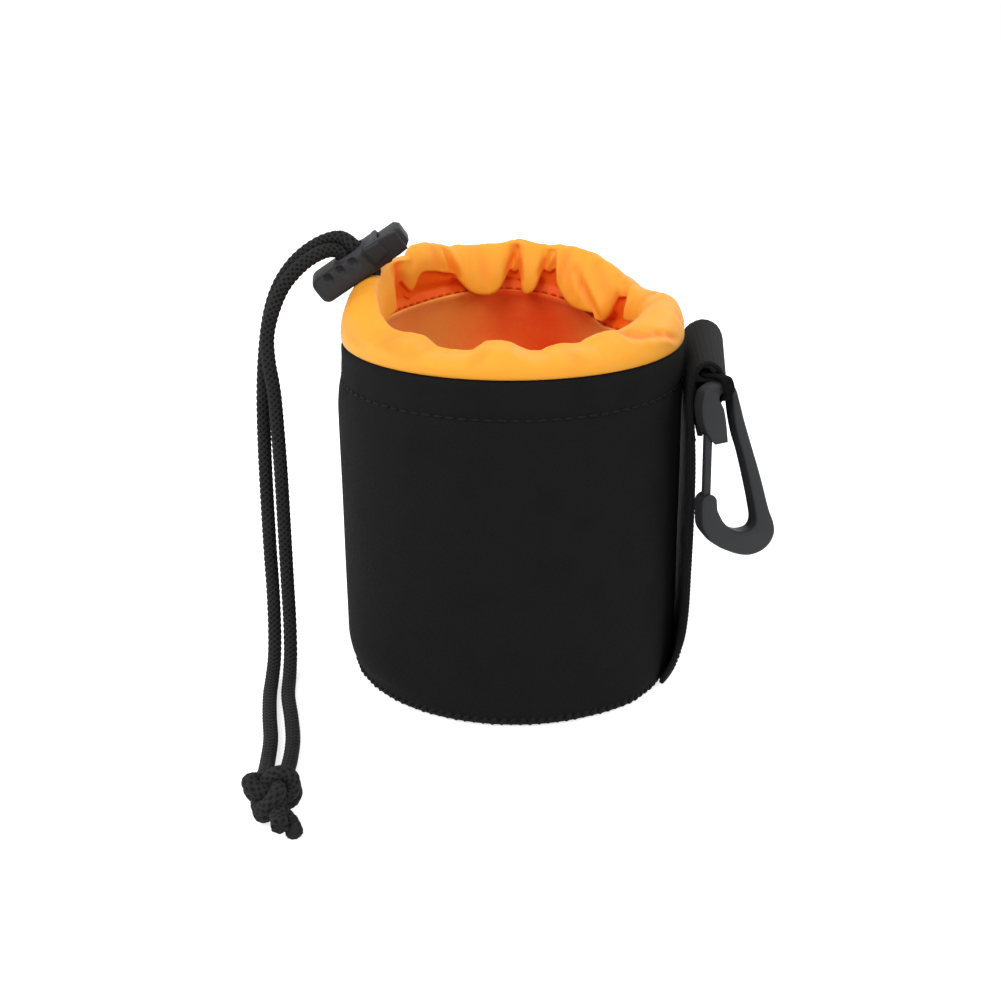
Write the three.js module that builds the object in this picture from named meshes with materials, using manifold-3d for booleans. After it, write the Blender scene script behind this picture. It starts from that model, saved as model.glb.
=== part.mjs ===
// Lens pouch: a soft drawstring pouch with a cord lock, a belt strap and a carabiner.
// Millimetres, +Z up, origin at the centre of the base. The strap side is +X and the front is -Y.
import * as THREE from 'three';
import { mergeVertices } from 'three/addons/utils/BufferGeometryUtils.js';
import ManifoldModule from 'manifold-3d';

const wasm = await ManifoldModule();
wasm.setup();

// Fits
const SEWN_GAP = 0.3; // between layers that are sewn together
const RUN_GAP = 0.25; // sliding fit of the button in its body
const PIN_GAP = 0.1; // pin in the frame
const TURN_GAP = 0.3; // gate on its pin

// Wall, base and lining
const WALL_RADIUS = 50;
const WALL_TOP = 102.5;
const WALL_THICK = 4;
const WALL_FOOT_ROUND = 3;
const BASE_THICK = 3.3;
const BASE_RADIUS = 47.4;
const LINING_THICK = 1.5;
const LINING_LEAN_START = 91;
const LINING_TOP = 104;
const LINING_TOP_RADIUS = 39.3;
const BINDING_WIDTH = 2.2;
const ROUND_STEPS = 56;

// Collar
const COLLAR_SKIRT_LOW = 93;
const COLLAR_SKIRT_THICK = 1.0;
const COLLAR_BULGE = 49.8;
// Height of the crest at angles round the mouth, in degrees from +X toward +Y.
const CREST_STOPS = [
  [0, 114.6], [14, 112.8], [27, 112.0], [40, 114.8], [54, 118.8],
  [72, 121.4], [88, 122.4], [104, 121.6], [122, 122.6], [140, 123.2],
  [152, 121.8], [165, 119.2], [180, 117.6], [205, 115.2], [230, 112.8], [255, 111.0],
  [275, 110.6], [295, 110.6], [318, 111.2], [338, 112.8], [360, 114.6],
];
const CREST_RADIUS = 40;
const MOUTH_RADIUS = 32.5;
const MOUTH_EDGE_HEIGHT = 107.5;
const GATHERS = 15;
const GATHER_DEPTH = 1.7;
const COLLAR_STEPS = 75;
const CHANNEL_STEPS = 48;
const CHANNEL_RADIUS = 2.6;
const CHANNEL_CIRCLE = 42.8;
const CHANNEL_DROP = 4.7;
const EXIT_SPARE = 0.9;

// Drawstring
const CORD_DIAMETER = 4;
const CORD_SIDES = 8;
const STRAND_PITCH = 4.4;
const EXIT_ANGLE = 168;
const HOOP_GAP_FRONT = 17;
const HOOP_GAP_BACK = 18;
const CORD_END_GAP = 0.9;
const KNOT_CENTRE = [-61.6, -95, 6.7];
const KNOT_SIZE = [8.6, 7.8, 7.4];

// Cord lock
const LOCK_CENTRE = [-45, 6, 122.6];
const LOCK_TILT = 33.7;
const LOCK_ROLL = 12;
const BUTTON_TRAVEL = 3;
const SLOT_WIDTH = 4.6;
const SLOT_SPARE = 0.5;
const STEM_WALL = 0.8;
const STEM_DEEP = 4.9;
const CUP_WALL = 0.75; // round the button where it enters the body
const BODY_END = 3.0;
const SLOT_BRIDGE = 1.6;
const SPRING_SOLID = 2.3;
const BODY_LIP = 1.4;
const HEAD_LONG = 7.0;
const HEAD_DEEP = 6.4;
const HEAD_WIDE = 7.7;
const APRON_LOW = 4.4;
const APRON_DEEP = 6.2;
const APRON_THICK = 1.0;
const SPRING_WIRE = 0.6;
const SPRING_MEAN = 3.6;
const SPRING_TURNS = 4.5;

// Belt strap, its rolled top and the hanger tape
const STRAP_WIDE = 48;
const STRAP_THICK = 1.5;
const STRAP_TURN = -3;
const STRAP_FOOT_RADIUS = WALL_RADIUS + 1.3;
const ROLL_FLARE = 3;
const TAPE_WIDE = 4;
const TAPE_THICK = 1.2;
const TAPE_BUNCH_WIDE = 2.4;
const TAPE_BUNCH_THICK = 1.5;
const TAPE_START = -14;

// Carabiner
const CLIP_CENTRE = [57.2, -31.0, 88.4];
const CLIP_TURN = 25;
const CLIP_THICK = 5;
const CLIP_BEVEL = 0.8;
const EYE_TOP = 5.4;
const CLIP_TOP = 8.3;
const EYE_OFFSET = 0.1;
const GATE_BAR = 2.2;
const GATE_THICK = 2;
const GATE_PIVOT = [-3.3, -26.2];
const GATE_TIP = [-3.7, -6.0];
const GATE_SWEEP = 6.2;
const PIN_RADIUS = 0.8;
const KNUCKLE_RADIUS = 1.9;
const PRONG_RADIUS = 2.5;

const deg = THREE.MathUtils.degToRad;
const v3 = (x, y, z) => new THREE.Vector3(x, y, z);

const FINISH = {
  neoprene: [0x1d1d1f, 0.85],
  plush: [0xd85f22, 1.0],
  nylon: [0xf7972f, 0.7],
  cord: [0x121214, 0.9],
  webbing: [0x17171a, 0.8],
  lock: [0x2b2c30, 0.5],
  button: [0x1b1c20, 0.45],
  clip: [0x2a2b2e, 0.45],
  steel: [0xb8bbc0, 0.35],
  thread: [0x101012, 0.9],
};

function paint(kind) {
  const [color, roughness] = FINISH[kind];
  return new THREE.MeshStandardMaterial({ color, roughness, metalness: kind === 'steel' ? 1 : 0 });
}

// Merge corners and turn the faces outward.
function sealed(geometry) {
  geometry.deleteAttribute('normal');
  geometry.deleteAttribute('uv');
  const merged = mergeVertices(geometry, 1e-4);
  const p = merged.getAttribute('position');
  const index = merged.getIndex().array;
  const a = v3(0, 0, 0);
  const b = v3(0, 0, 0);
  const c = v3(0, 0, 0);
  let volume = 0;
  for (let i = 0; i < index.length; i += 3) {
    a.fromBufferAttribute(p, index[i]);
    b.fromBufferAttribute(p, index[i + 1]);
    c.fromBufferAttribute(p, index[i + 2]);
    volume += a.dot(b.cross(c));
  }
  if (volume < 0) {
    for (let i = 0; i < index.length; i += 3) {
      const swap = index[i];
      index[i] = index[i + 1];
      index[i + 1] = swap;
    }
  }
  return merged;
}

function solidOf(geometry) {
  const g = sealed(geometry);
  const vertProperties = new Float32Array(g.getAttribute('position').array);
  const triVerts = new Uint32Array(g.getIndex().array);
  return new wasm.Manifold(new wasm.Mesh({ numProp: 3, vertProperties, triVerts }));
}

function geometryOf(solid) {
  const mesh = solid.getMesh();
  const g = new THREE.BufferGeometry();
  g.setAttribute('position', new THREE.BufferAttribute(new Float32Array(mesh.vertProperties), 3));
  g.setIndex(new THREE.BufferAttribute(new Uint32Array(mesh.triVerts), 1));
  return g;
}

function part(name, geometry, kind) {
  const g = sealed(geometry);
  g.computeVertexNormals();
  const mesh = new THREE.Mesh(g, paint(kind));
  mesh.name = name;
  return mesh;
}

// A turned body from a closed profile of radius and height pairs.
function turned(profile) {
  const points = profile.map(([r, z]) => new THREE.Vector2(r, z));
  points.push(points[0].clone());
  return new THREE.LatheGeometry(points, ROUND_STEPS).rotateX(Math.PI / 2);
}

// A tube swept along a smooth curve.
function tube(points, radius, steps, sides = CORD_SIDES) {
  const ring = [];
  for (let i = 0; i < sides; i += 1) {
    const t = (2 * Math.PI * i) / sides;
    ring.push(new THREE.Vector2(radius * Math.cos(t), radius * Math.sin(t)));
  }
  const path = Array.isArray(points) ? new THREE.CatmullRomCurve3(points, false, 'centripetal') : points;
  return new THREE.ExtrudeGeometry(new THREE.Shape(ring), { steps, bevelEnabled: false, extrudePath: path });
}

// A ring-shaped body: a closed section at each step round a closed loop.
function ringBody(around, section) {
  const rows = [];
  for (let i = 0; i < around; i += 1) {
    rows.push(section((2 * Math.PI * i) / around));
  }
  const n = rows[0].length;
  const positions = rows.flat().flatMap((q) => [q.x, q.y, q.z]);
  const index = [];
  for (let i = 0; i < around; i += 1) {
    for (let j = 0; j < n; j += 1) {
      const a = i * n + j;
      const b = i * n + ((j + 1) % n);
      const c = ((i + 1) % around) * n + j;
      const d = ((i + 1) % around) * n + ((j + 1) % n);
      index.push(a, c, b, b, c, d);
    }
  }
  const g = new THREE.BufferGeometry();
  g.setAttribute('position', new THREE.Float32BufferAttribute(positions, 3));
  g.setIndex(index);
  return g;
}

// A flat outline of points, given a thickness about its own plane.
function plate(outline, thick, bevel = 0) {
  const shape = new THREE.Shape(outline.map(([x, y]) => new THREE.Vector2(x, y)));
  const g = new THREE.ExtrudeGeometry(shape, {
    depth: thick - 2 * bevel,
    steps: 1,
    bevelEnabled: bevel > 0,
    bevelThickness: bevel,
    bevelSize: bevel,
    bevelOffset: -bevel,
    bevelSegments: 1,
  });
  return g.translate(0, 0, bevel - thick / 2);
}

function block(x0, x1, deep, wide) {
  return new THREE.BoxGeometry(x1 - x0, deep, wide).translate((x0 + x1) / 2, 0, 0);
}

function disc(cx, cy, radius, count = 16) {
  const out = [];
  for (let i = 0; i < count; i += 1) {
    const t = (2 * Math.PI * i) / count;
    out.push([cx + radius * Math.cos(t), cy + radius * Math.sin(t)]);
  }
  return out;
}

// Wall, base and lining

const wallInner = WALL_RADIUS - WALL_THICK;
const wallFoot = BASE_THICK + SEWN_GAP;
const liningOuter = wallInner - SEWN_GAP;
const liningInner = liningOuter - LINING_THICK;

function outerWall() {
  const r = WALL_FOOT_ROUND;
  return turned([
    [wallInner, wallFoot],
    [WALL_RADIUS - 1.0, wallFoot],
    [WALL_RADIUS - 0.3, wallFoot + 0.3 * r],
    [WALL_RADIUS, wallFoot + r],
    [WALL_RADIUS, WALL_TOP - 0.8],
    [WALL_RADIUS - 0.8, WALL_TOP],
    [wallInner + 0.6, WALL_TOP],
    [wallInner, WALL_TOP - 0.6],
  ]);
}

function basePanel() {
  return turned([
    [0, 0],
    [BASE_RADIUS - 1.0, 0],
    [BASE_RADIUS, 1.0],
    [BASE_RADIUS, BASE_THICK],
    [0, BASE_THICK],
  ]);
}

function seamBinding() {
  const inner = BASE_RADIUS + SEWN_GAP;
  const middle = inner + BINDING_WIDTH / 2;
  const top = wallFoot - SEWN_GAP;
  return turned([
    [inner, 0.9],
    [middle - 0.3, 0.25],
    [middle + 0.5, 0.5],
    [inner + BINDING_WIDTH, 1.5],
    [inner + BINDING_WIDTH, top - 0.6],
    [middle + 0.6, top],
    [inner, top],
  ]);
}

function wallLining() {
  const lean = LINING_TOP_RADIUS;
  return turned([
    [liningInner, wallFoot + 0.2],
    [liningOuter, wallFoot + 0.2],
    [liningOuter, LINING_LEAN_START - 1],
    [lean + 2.6, LINING_TOP - 5],
    [lean, LINING_TOP],
    [lean - 0.9, LINING_TOP],
    [lean - 1.4, LINING_TOP - 1],
    [lean + 1.2, LINING_TOP - 5.6],
    [liningInner, LINING_LEAN_START - 2],
  ]);
}

function baseLining() {
  const radius = liningInner - SEWN_GAP;
  const low = BASE_THICK + SEWN_GAP;
  return turned([
    [0, low],
    [radius, low],
    [radius, low + LINING_THICK],
    [0, low + LINING_THICK],
  ]);
}

// Collar

function crestHeight(t) {
  const turn = THREE.MathUtils.euclideanModulo(THREE.MathUtils.radToDeg(t), 360);
  const k = CREST_STOPS.findIndex(([angle]) => angle > turn);
  const [a0, z0] = CREST_STOPS[k - 1];
  const [a1, z1] = CREST_STOPS[k];
  return THREE.MathUtils.lerp(z0, z1, THREE.MathUtils.smoothstep(turn, a0, a1));
}

function crest(t) {
  return { r: CREST_RADIUS + 2 * Math.sin(t) + 2.6 * Math.cos(t), z: crestHeight(t) };
}

function gather(t) {
  return Math.sin(GATHERS * t + 0.9 * Math.sin(2 * t) + 0.7 * Math.sin(3 * t + 1));
}

function around(t, r, z) {
  return v3(r * Math.cos(t), r * Math.sin(t), z);
}

function collarSection(t) {
  const c = crest(t);
  const wave = gather(t);
  const g = GATHER_DEPTH;
  const skirtOuter = wallInner - SEWN_GAP;
  const skirtInner = skirtOuter - COLLAR_SKIRT_THICK;
  const bulge = COLLAR_BULGE;
  const shoulder = WALL_TOP + 3.6;
  const rise = c.z - shoulder;
  const edge = MOUTH_EDGE_HEIGHT - 0.5 * g * wave;
  const leanRadius = LINING_TOP_RADIUS + 0.5;
  const rows = [
    [skirtOuter, COLLAR_SKIRT_LOW],
    [skirtOuter, WALL_TOP + 0.2],
    [bulge - 1.6, WALL_TOP + 0.6],
    [bulge - 0.2, WALL_TOP + 1.6],
    [bulge, shoulder],
    [bulge - 0.10 * (bulge - c.r), shoulder + 0.42 * rise],
    [bulge - 0.34 * (bulge - c.r), shoulder + 0.76 * rise + 0.1 * g * wave],
    [c.r + 3.0, c.z - 0.9 + 0.25 * g * wave],
    [c.r, c.z + 0.35 * g * wave],
    [c.r - 2.6, c.z - 0.9 + 0.4 * g * wave],
    [0.45 * c.r + 0.55 * MOUTH_RADIUS - 0.8 * g * wave, c.z - 0.38 * (c.z - edge)],
    [MOUTH_RADIUS + 0.6 - g * wave, edge + 1.6],
    [MOUTH_RADIUS + 1.2 - g * wave, edge - 0.4],
    [leanRadius - 1.6, LINING_TOP + 1.0],
    [leanRadius, LINING_TOP + 0.4],
    [leanRadius + 2.8, LINING_TOP - 4.8],
    [skirtInner, COLLAR_SKIRT_LOW],
  ];
  return rows.map(([r, z]) => around(t, r, z));
}

// The channel follows the crest with its dips smoothed.
function channelHeight(t) {
  const spread = [-18, -9, 0, 9, 18];
  const sum = spread.reduce((total, a) => total + crestHeight(t + deg(a)), 0);
  return sum / spread.length - CHANNEL_DROP;
}

function channelCentre(t) {
  return around(t, CHANNEL_CIRCLE, channelHeight(t));
}

function channelSection(t) {
  const z = channelHeight(t);
  const out = [];
  for (let i = 0; i < 8; i += 1) {
    const s = (2 * Math.PI * (i + 0.5)) / 8;
    const r = CHANNEL_CIRCLE + CHANNEL_RADIUS * Math.cos(s);
    out.push(around(t, r, z + CHANNEL_RADIUS * Math.sin(s)));
  }
  return out;
}

function collar() {
  let body = solidOf(ringBody(COLLAR_STEPS, collarSection));
  body = body.subtract(solidOf(ringBody(CHANNEL_STEPS, channelSection)));
  for (const strand of [innerStrand(), outerStrand()]) {
    const reach = strand.slice(0, 9);
    const room = CORD_DIAMETER / 2 + EXIT_SPARE;
    body = body.subtract(solidOf(tube(reach, room, 18)));
    for (const q of strand.slice(2, 5)) {
      body = body.subtract(solidOf(new THREE.SphereGeometry(room, 8, 6).translate(q.x, q.y, q.z)));
    }
  }
  const whole = body.decompose().sort((a, b) => b.volume() - a.volume())[0];
  return geometryOf(whole);
}

// Cord lock frame: u along the button's travel, v along the cords, w across.

function lockAxes() {
  const tilt = deg(LOCK_TILT);
  const roll = deg(LOCK_ROLL);
  const u = v3(Math.cos(tilt), 0, Math.sin(tilt));
  const flat = v3(-Math.sin(tilt), 0, Math.cos(tilt));
  const v = flat.multiplyScalar(Math.cos(roll)).add(v3(0, -Math.sin(roll), 0));
  const w = u.clone().cross(v);
  return { u, v, w };
}

function lockPoint(a, b) {
  const { u, v } = lockAxes();
  return v3(...LOCK_CENTRE).addScaledVector(u, a).addScaledVector(v, b);
}

// Drawstring: points run from the end of the hoop, out through the lock, over and down to the knot.

const exitAngle = deg(EXIT_ANGLE);

function innerStrand() {
  const half = STRAND_PITCH / 2;
  return [
    channelCentre(exitAngle + deg(HOOP_GAP_FRONT)),
    channelCentre(exitAngle + deg(HOOP_GAP_FRONT - 6)),
    v3(-42.9, 3.6, 113.3),
    v3(-43.0, 5.9, 114.5),
    lockPoint(-half, -6.6),
    lockPoint(-half, -5.0),
    lockPoint(-half, -2.5),
    lockPoint(-half, 0),
    lockPoint(-half, 2.5),
    lockPoint(-half, 5.2),
    v3(-53.0, 3.4, 126.6),
    v3(-57.5, 0.6, 125.3),
    v3(-62.0, -1.8, 122.0),
    v3(-66.0, -4.2, 117.2),
    v3(-69.0, -6.0, 110.5),
    v3(-70.6, -7.2, 104.0),
    v3(-70.6, -7.8, 97.0),
    v3(-69.6, -8.0, 88.0),
    v3(-69.2, -8.2, 76.0),
    v3(-69.0, -8.4, 62.0),
    v3(-69.0, -8.8, 45.0),
    v3(-69.0, -9.4, 28.0),
    v3(-68.8, -11.0, 15.0),
    v3(-68.4, -15.6, 6.2),
    v3(-67.8, -23.0, 2.6),
    v3(-66.6, -34.0, 2.15),
    v3(-63.6, -48.0, 2.15),
    v3(-61.4, -60.0, 2.15),
    v3(-60.4, -72.0, 2.6),
    v3(-60.0, -82.0, 4.6),
    v3(-60.2, -87.2, 6.2),
  ];
}

function outerStrand() {
  const half = STRAND_PITCH / 2;
  return [
    channelCentre(exitAngle - deg(HOOP_GAP_BACK)),
    channelCentre(exitAngle - deg(HOOP_GAP_BACK - 6)),
    channelCentre(exitAngle - deg(HOOP_GAP_BACK - 11)).add(v3(0.5, 0, 0.5)),
    lockPoint(half, -9.0).add(v3(0.8, 1.4, 0.8)),
    lockPoint(half, -7.0).add(v3(0.2, 0.3, 0.1)),
    lockPoint(half, -5.0),
    lockPoint(half, -2.5),
    lockPoint(half, 0),
    lockPoint(half, 2.5),
    lockPoint(half, 5.2),
    v3(-49.6, 6.0, 129.9),
    v3(-54.2, 6.9, 129.0),
    v3(-59.0, 5.8, 126.6),
    v3(-63.2, 4.0, 123.2),
    v3(-66.8, 2.2, 118.6),
    v3(-69.3, 0.0, 113.2),
    v3(-71.0, -1.2, 107.0),
    v3(-72.4, -2.6, 98.0),
    v3(-73.4, -3.8, 87.0),
    v3(-74.0, -4.6, 72.0),
    v3(-74.2, -5.4, 55.0),
    v3(-74.2, -6.2, 38.0),
    v3(-74.0, -7.2, 23.0),
    v3(-73.8, -10.0, 12.0),
    v3(-73.4, -15.4, 5.4),
    v3(-73.0, -23.0, 2.5),
    v3(-72.0, -34.0, 2.15),
    v3(-70.0, -47.0, 2.15),
    v3(-67.6, -60.0, 2.15),
    v3(-66.4, -72.0, 2.7),
    v3(-65.2, -82.0, 5.2),
    v3(-64.6, -87.0, 7.0),
  ];
}

function drawstringHoop() {
  const points = [];
  const from = EXIT_ANGLE + HOOP_GAP_FRONT + CORD_END_GAP;
  const to = EXIT_ANGLE + 360 - HOOP_GAP_BACK - CORD_END_GAP;
  for (let i = 0; i <= 32; i += 1) {
    points.push(channelCentre(deg(from + ((to - from) * i) / 32)));
  }
  return tube(points, CORD_DIAMETER / 2, 40);
}

// The knot: three round passes of the doubled cord about a core.
function knot() {
  const [a, b, c] = KNOT_SIZE;
  const r = CORD_DIAMETER / 2;
  let body = solidOf(new THREE.SphereGeometry(1, 12, 8).scale(a - 2.2, b - 2.0, c - 1.8));
  const passes = [
    [0.0, 0.35, 0.0],
    [1.2, -0.5, 0.4],
    [-1.0, 0.9, 0.8],
  ];
  passes.forEach(([turnX, turnY, lift]) => {
    const loop = new THREE.TorusGeometry(a - r - 0.4, r, 7, 16);
    loop.rotateX(turnX).rotateY(turnY).translate(0, 0, lift * 0.4);
    loop.scale(1, (b - 0.4) / a, (c - 0.3) / a);
    body = body.add(solidOf(loop));
  });
  return geometryOf(body).translate(...KNOT_CENTRE);
}

// The two cut ends under the knot: the right one on the floor, the left one lying against it.
function cutEnd(side) {
  const [x, y] = KNOT_CENTRE;
  const shift = 1.6 * side;
  const lift = 1.35 - 1.35 * side;
  const reach = 0.8 - 0.8 * side;
  const points = [
    v3(x + 4.3 + shift, y - 6.8, 2.7 + lift),
    v3(x + 5.0 + shift, y - 8.4 - reach / 2, 2.4 + lift),
    v3(x + 5.6 + shift, y - 10.2 - reach, 2.2 + lift),
  ];
  return tube(points, CORD_DIAMETER / 2, 4);
}

// Cord lock

const cords = STRAND_PITCH / 2 + CORD_DIAMETER / 2;
const slotLow = -cords - SLOT_SPARE;
const slotHigh = cords + SLOT_SPARE;
const stemLow = slotLow - SLOT_BRIDGE;
const pocketLow = stemLow - BUTTON_TRAVEL - SPRING_SOLID;
const bodyLow = pocketLow - BODY_END;
const cupFloor = slotHigh + BODY_LIP;
const bodyHigh = cupFloor + BUTTON_TRAVEL + SEWN_GAP;
const stemWide = SLOT_WIDTH + 2 * STEM_WALL;
const bodyDeep = HEAD_DEEP + 2 * (RUN_GAP + CUP_WALL);
const bodyWide = HEAD_WIDE + 2 * (RUN_GAP + CUP_WALL);
const headLow = bodyHigh;
const headHigh = headLow + HEAD_LONG;

// A rounded bar along u with bevelled ends.
function roundedBar(x0, x1, deep, wide, corner, bevel) {
  const a = deep / 2;
  const b = wide / 2;
  const outline = [];
  const corners = [[1, 1, 0], [-1, 1, 90], [-1, -1, 180], [1, -1, 270]];
  for (const [sx, sy, from] of corners) {
    for (let i = 0; i <= 3; i += 1) {
      const t = deg(from + 30 * i);
      outline.push([sx * (a - corner) + corner * Math.cos(t), sy * (b - corner) + corner * Math.sin(t)]);
    }
  }
  const g = plate(outline, x1 - x0, bevel);
  const toU = new THREE.Matrix4().makeBasis(v3(0, 1, 0), v3(0, 0, 1), v3(1, 0, 0));
  return g.applyMatrix4(toU).translate((x0 + x1) / 2, 0, 0);
}

function cordSlot(low, high) {
  const r = SLOT_WIDTH / 2;
  const outline = [];
  for (let i = 0; i <= 8; i += 1) {
    const t = deg(-90 + 22.5 * i);
    outline.push([high - r + r * Math.cos(t), r * Math.sin(t)]);
  }
  for (let i = 0; i <= 8; i += 1) {
    const t = deg(90 + 22.5 * i);
    outline.push([low + r + r * Math.cos(t), r * Math.sin(t)]);
  }
  return plate(outline, 30).rotateX(Math.PI / 2);
}

function lockBody() {
  let body = solidOf(roundedBar(bodyLow, bodyHigh, bodyDeep, bodyWide, 1.6, 1.0));
  const deep = STEM_DEEP + 2 * RUN_GAP;
  const wide = stemWide + 2 * RUN_GAP;
  body = body.subtract(solidOf(block(pocketLow, cupFloor + 1, deep, wide)));
  const cupDeep = HEAD_DEEP + 2 * RUN_GAP;
  const cupWide = HEAD_WIDE + 2 * RUN_GAP;
  body = body.subtract(solidOf(block(cupFloor, bodyHigh + 1, cupDeep, cupWide)));
  body = body.subtract(solidOf(cordSlot(slotLow, slotHigh)));
  return geometryOf(body);
}

function lockButton() {
  let body = solidOf(block(stemLow, headLow + 1, STEM_DEEP, stemWide));
  body = body.add(solidOf(roundedBar(headLow, headHigh, HEAD_DEEP, HEAD_WIDE, 1.6, 0.9)));
  body = body.subtract(solidOf(cordSlot(slotLow, slotHigh + BUTTON_TRAVEL)));
  const front = bodyWide / 2 + RUN_GAP;
  const reach = front + APRON_THICK;
  const bridgeLow = bodyHigh + BUTTON_TRAVEL + SEWN_GAP;
  const bridge = block(bridgeLow, headHigh - 1.2, APRON_DEEP - 1.2, reach - 1);
  bridge.translate(0, 0, (reach + 1) / 2);
  const end = headHigh - 0.9;
  const side = APRON_DEEP / 2;
  const outline = [
    [APRON_LOW + 1, -side],
    [end, -side],
    [end, side],
    [APRON_LOW + 1, side],
    [APRON_LOW, side - 1],
    [APRON_LOW, 1 - side],
  ];
  const apron = plate(outline, APRON_THICK, 0.25);
  body = body.add(solidOf(bridge));
  body = body.add(solidOf(apron.translate(0, 0, front + APRON_THICK / 2)));
  return geometryOf(body);
}

class Coil extends THREE.Curve {
  constructor(low, high) {
    super();
    this.low = low;
    this.high = high;
  }

  getPoint(t, out = v3(0, 0, 0)) {
    const a = 2 * Math.PI * SPRING_TURNS * t;
    const r = SPRING_MEAN / 2;
    return out.set(this.low + (this.high - this.low) * t, r * Math.cos(a), r * Math.sin(a));
  }
}

function lockSpring() {
  const low = pocketLow + SPRING_WIRE / 2 + SEWN_GAP;
  const high = stemLow - SPRING_WIRE / 2 - SEWN_GAP;
  const gap = (high - low) / SPRING_TURNS - SPRING_WIRE;
  console.log(`cord lock spring: least gap between curls ${gap.toFixed(2)} mm`);
  return tube(new Coil(low, high), SPRING_WIRE / 2, Math.round(8 * SPRING_TURNS), 5);
}

// Belt strap: distance from the pouch axis and height along the strap, at a place across its width.

function strapLine(across) {
  const y = (across * STRAP_WIDE) / 2;
  const flare = ((across + 1) / 2) * ROLL_FLARE;
  const hug = STRAP_FOOT_RADIUS - Math.sqrt(STRAP_FOOT_RADIUS ** 2 - y * y);
  const foot = STRAP_FOOT_RADIUS - hug;
  const line = [
    [foot, 1.6],
    [foot + 0.4 + 0.28 * hug, 5.5],
    [foot + 0.8 + 0.54 * hug, 9.6],
    [foot + 1.0 + 0.83 * hug, 15.8],
    [foot + 1.1 + 0.97 * hug, 24],
    [foot + 1.2 + hug, 38],
    [foot + 1.3 + hug, 56],
    [foot + 1.1 + hug, 70],
    [foot + 0.5 + hug, 80],
    [foot - 0.1 + hug, 86],
    [foot - 0.15 + hug, 92],
    [foot + 0.3 + hug, 96.6],
    [foot + 2.0 + hug, 99.6],
    [foot + 4.6 + hug + 0.4 * flare, 100.4 + 0.3 * flare],
    [foot + 7.0 + hug + 0.8 * flare, 98.8 + 0.4 * flare],
    [foot + 8.4 + hug + flare, 95.6 + 0.3 * flare],
    [foot + 8.2 + hug + flare, 92.0],
    [foot + 6.9 + hug + 0.8 * flare, 88.4],
    [foot + 4.6 + hug + 0.4 * flare, 86.0],
    [foot + 2.6 + hug, 83.4],
    [foot + 2.6 + hug, 79.6],
  ];
  return new THREE.CatmullRomCurve3(line.map(([x, z]) => v3(x, y, z)), false, 'centripetal');
}

// A sheet of even thickness about a grid of points.
function sheetBody(rows, thick) {
  const nu = rows.length;
  const nv = rows[0].length;
  const positions = [];
  const index = [];
  for (const side of [1, -1]) {
    for (let i = 0; i < nu; i += 1) {
      for (let j = 0; j < nv; j += 1) {
        const along = rows[Math.min(nu - 1, i + 1)][j].clone().sub(rows[Math.max(0, i - 1)][j]);
        const over = rows[i][Math.min(nv - 1, j + 1)].clone().sub(rows[i][Math.max(0, j - 1)]);
        const normal = along.cross(over).normalize();
        const q = rows[i][j].clone().addScaledVector(normal, (side * thick) / 2);
        positions.push(q.x, q.y, q.z);
      }
    }
  }
  const low = nu * nv;
  const at = (i, j) => i * nv + j;
  for (let i = 0; i < nu - 1; i += 1) {
    for (let j = 0; j < nv - 1; j += 1) {
      const a = at(i, j);
      const b = at(i + 1, j);
      const c = at(i + 1, j + 1);
      const d = at(i, j + 1);
      index.push(a, b, c, a, c, d);
      index.push(low + a, low + c, low + b, low + a, low + d, low + c);
    }
  }
  const rim = [];
  for (let j = 0; j < nv - 1; j += 1) rim.push(at(0, j));
  for (let i = 0; i < nu - 1; i += 1) rim.push(at(i, nv - 1));
  for (let j = nv - 1; j > 0; j -= 1) rim.push(at(nu - 1, j));
  for (let i = nu - 1; i > 0; i -= 1) rim.push(at(i, 0));
  rim.forEach((a, k) => {
    const b = rim[(k + 1) % rim.length];
    index.push(a, b, low + b, a, low + b, low + a);
  });
  const g = new THREE.BufferGeometry();
  g.setAttribute('position', new THREE.Float32BufferAttribute(positions, 3));
  g.setIndex(index);
  return g;
}

function beltStrap() {
  const along = 40;
  const over = 6;
  const lines = [];
  for (let j = 0; j <= over; j += 1) {
    lines.push(strapLine((2 * j) / over - 1));
  }
  const rows = [];
  for (let i = 0; i <= along; i += 1) {
    rows.push(lines.map((line) => line.getPoint(i / along)));
  }
  return sheetBody(rows, STRAP_THICK).rotateZ(deg(STRAP_TURN));
}

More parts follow.
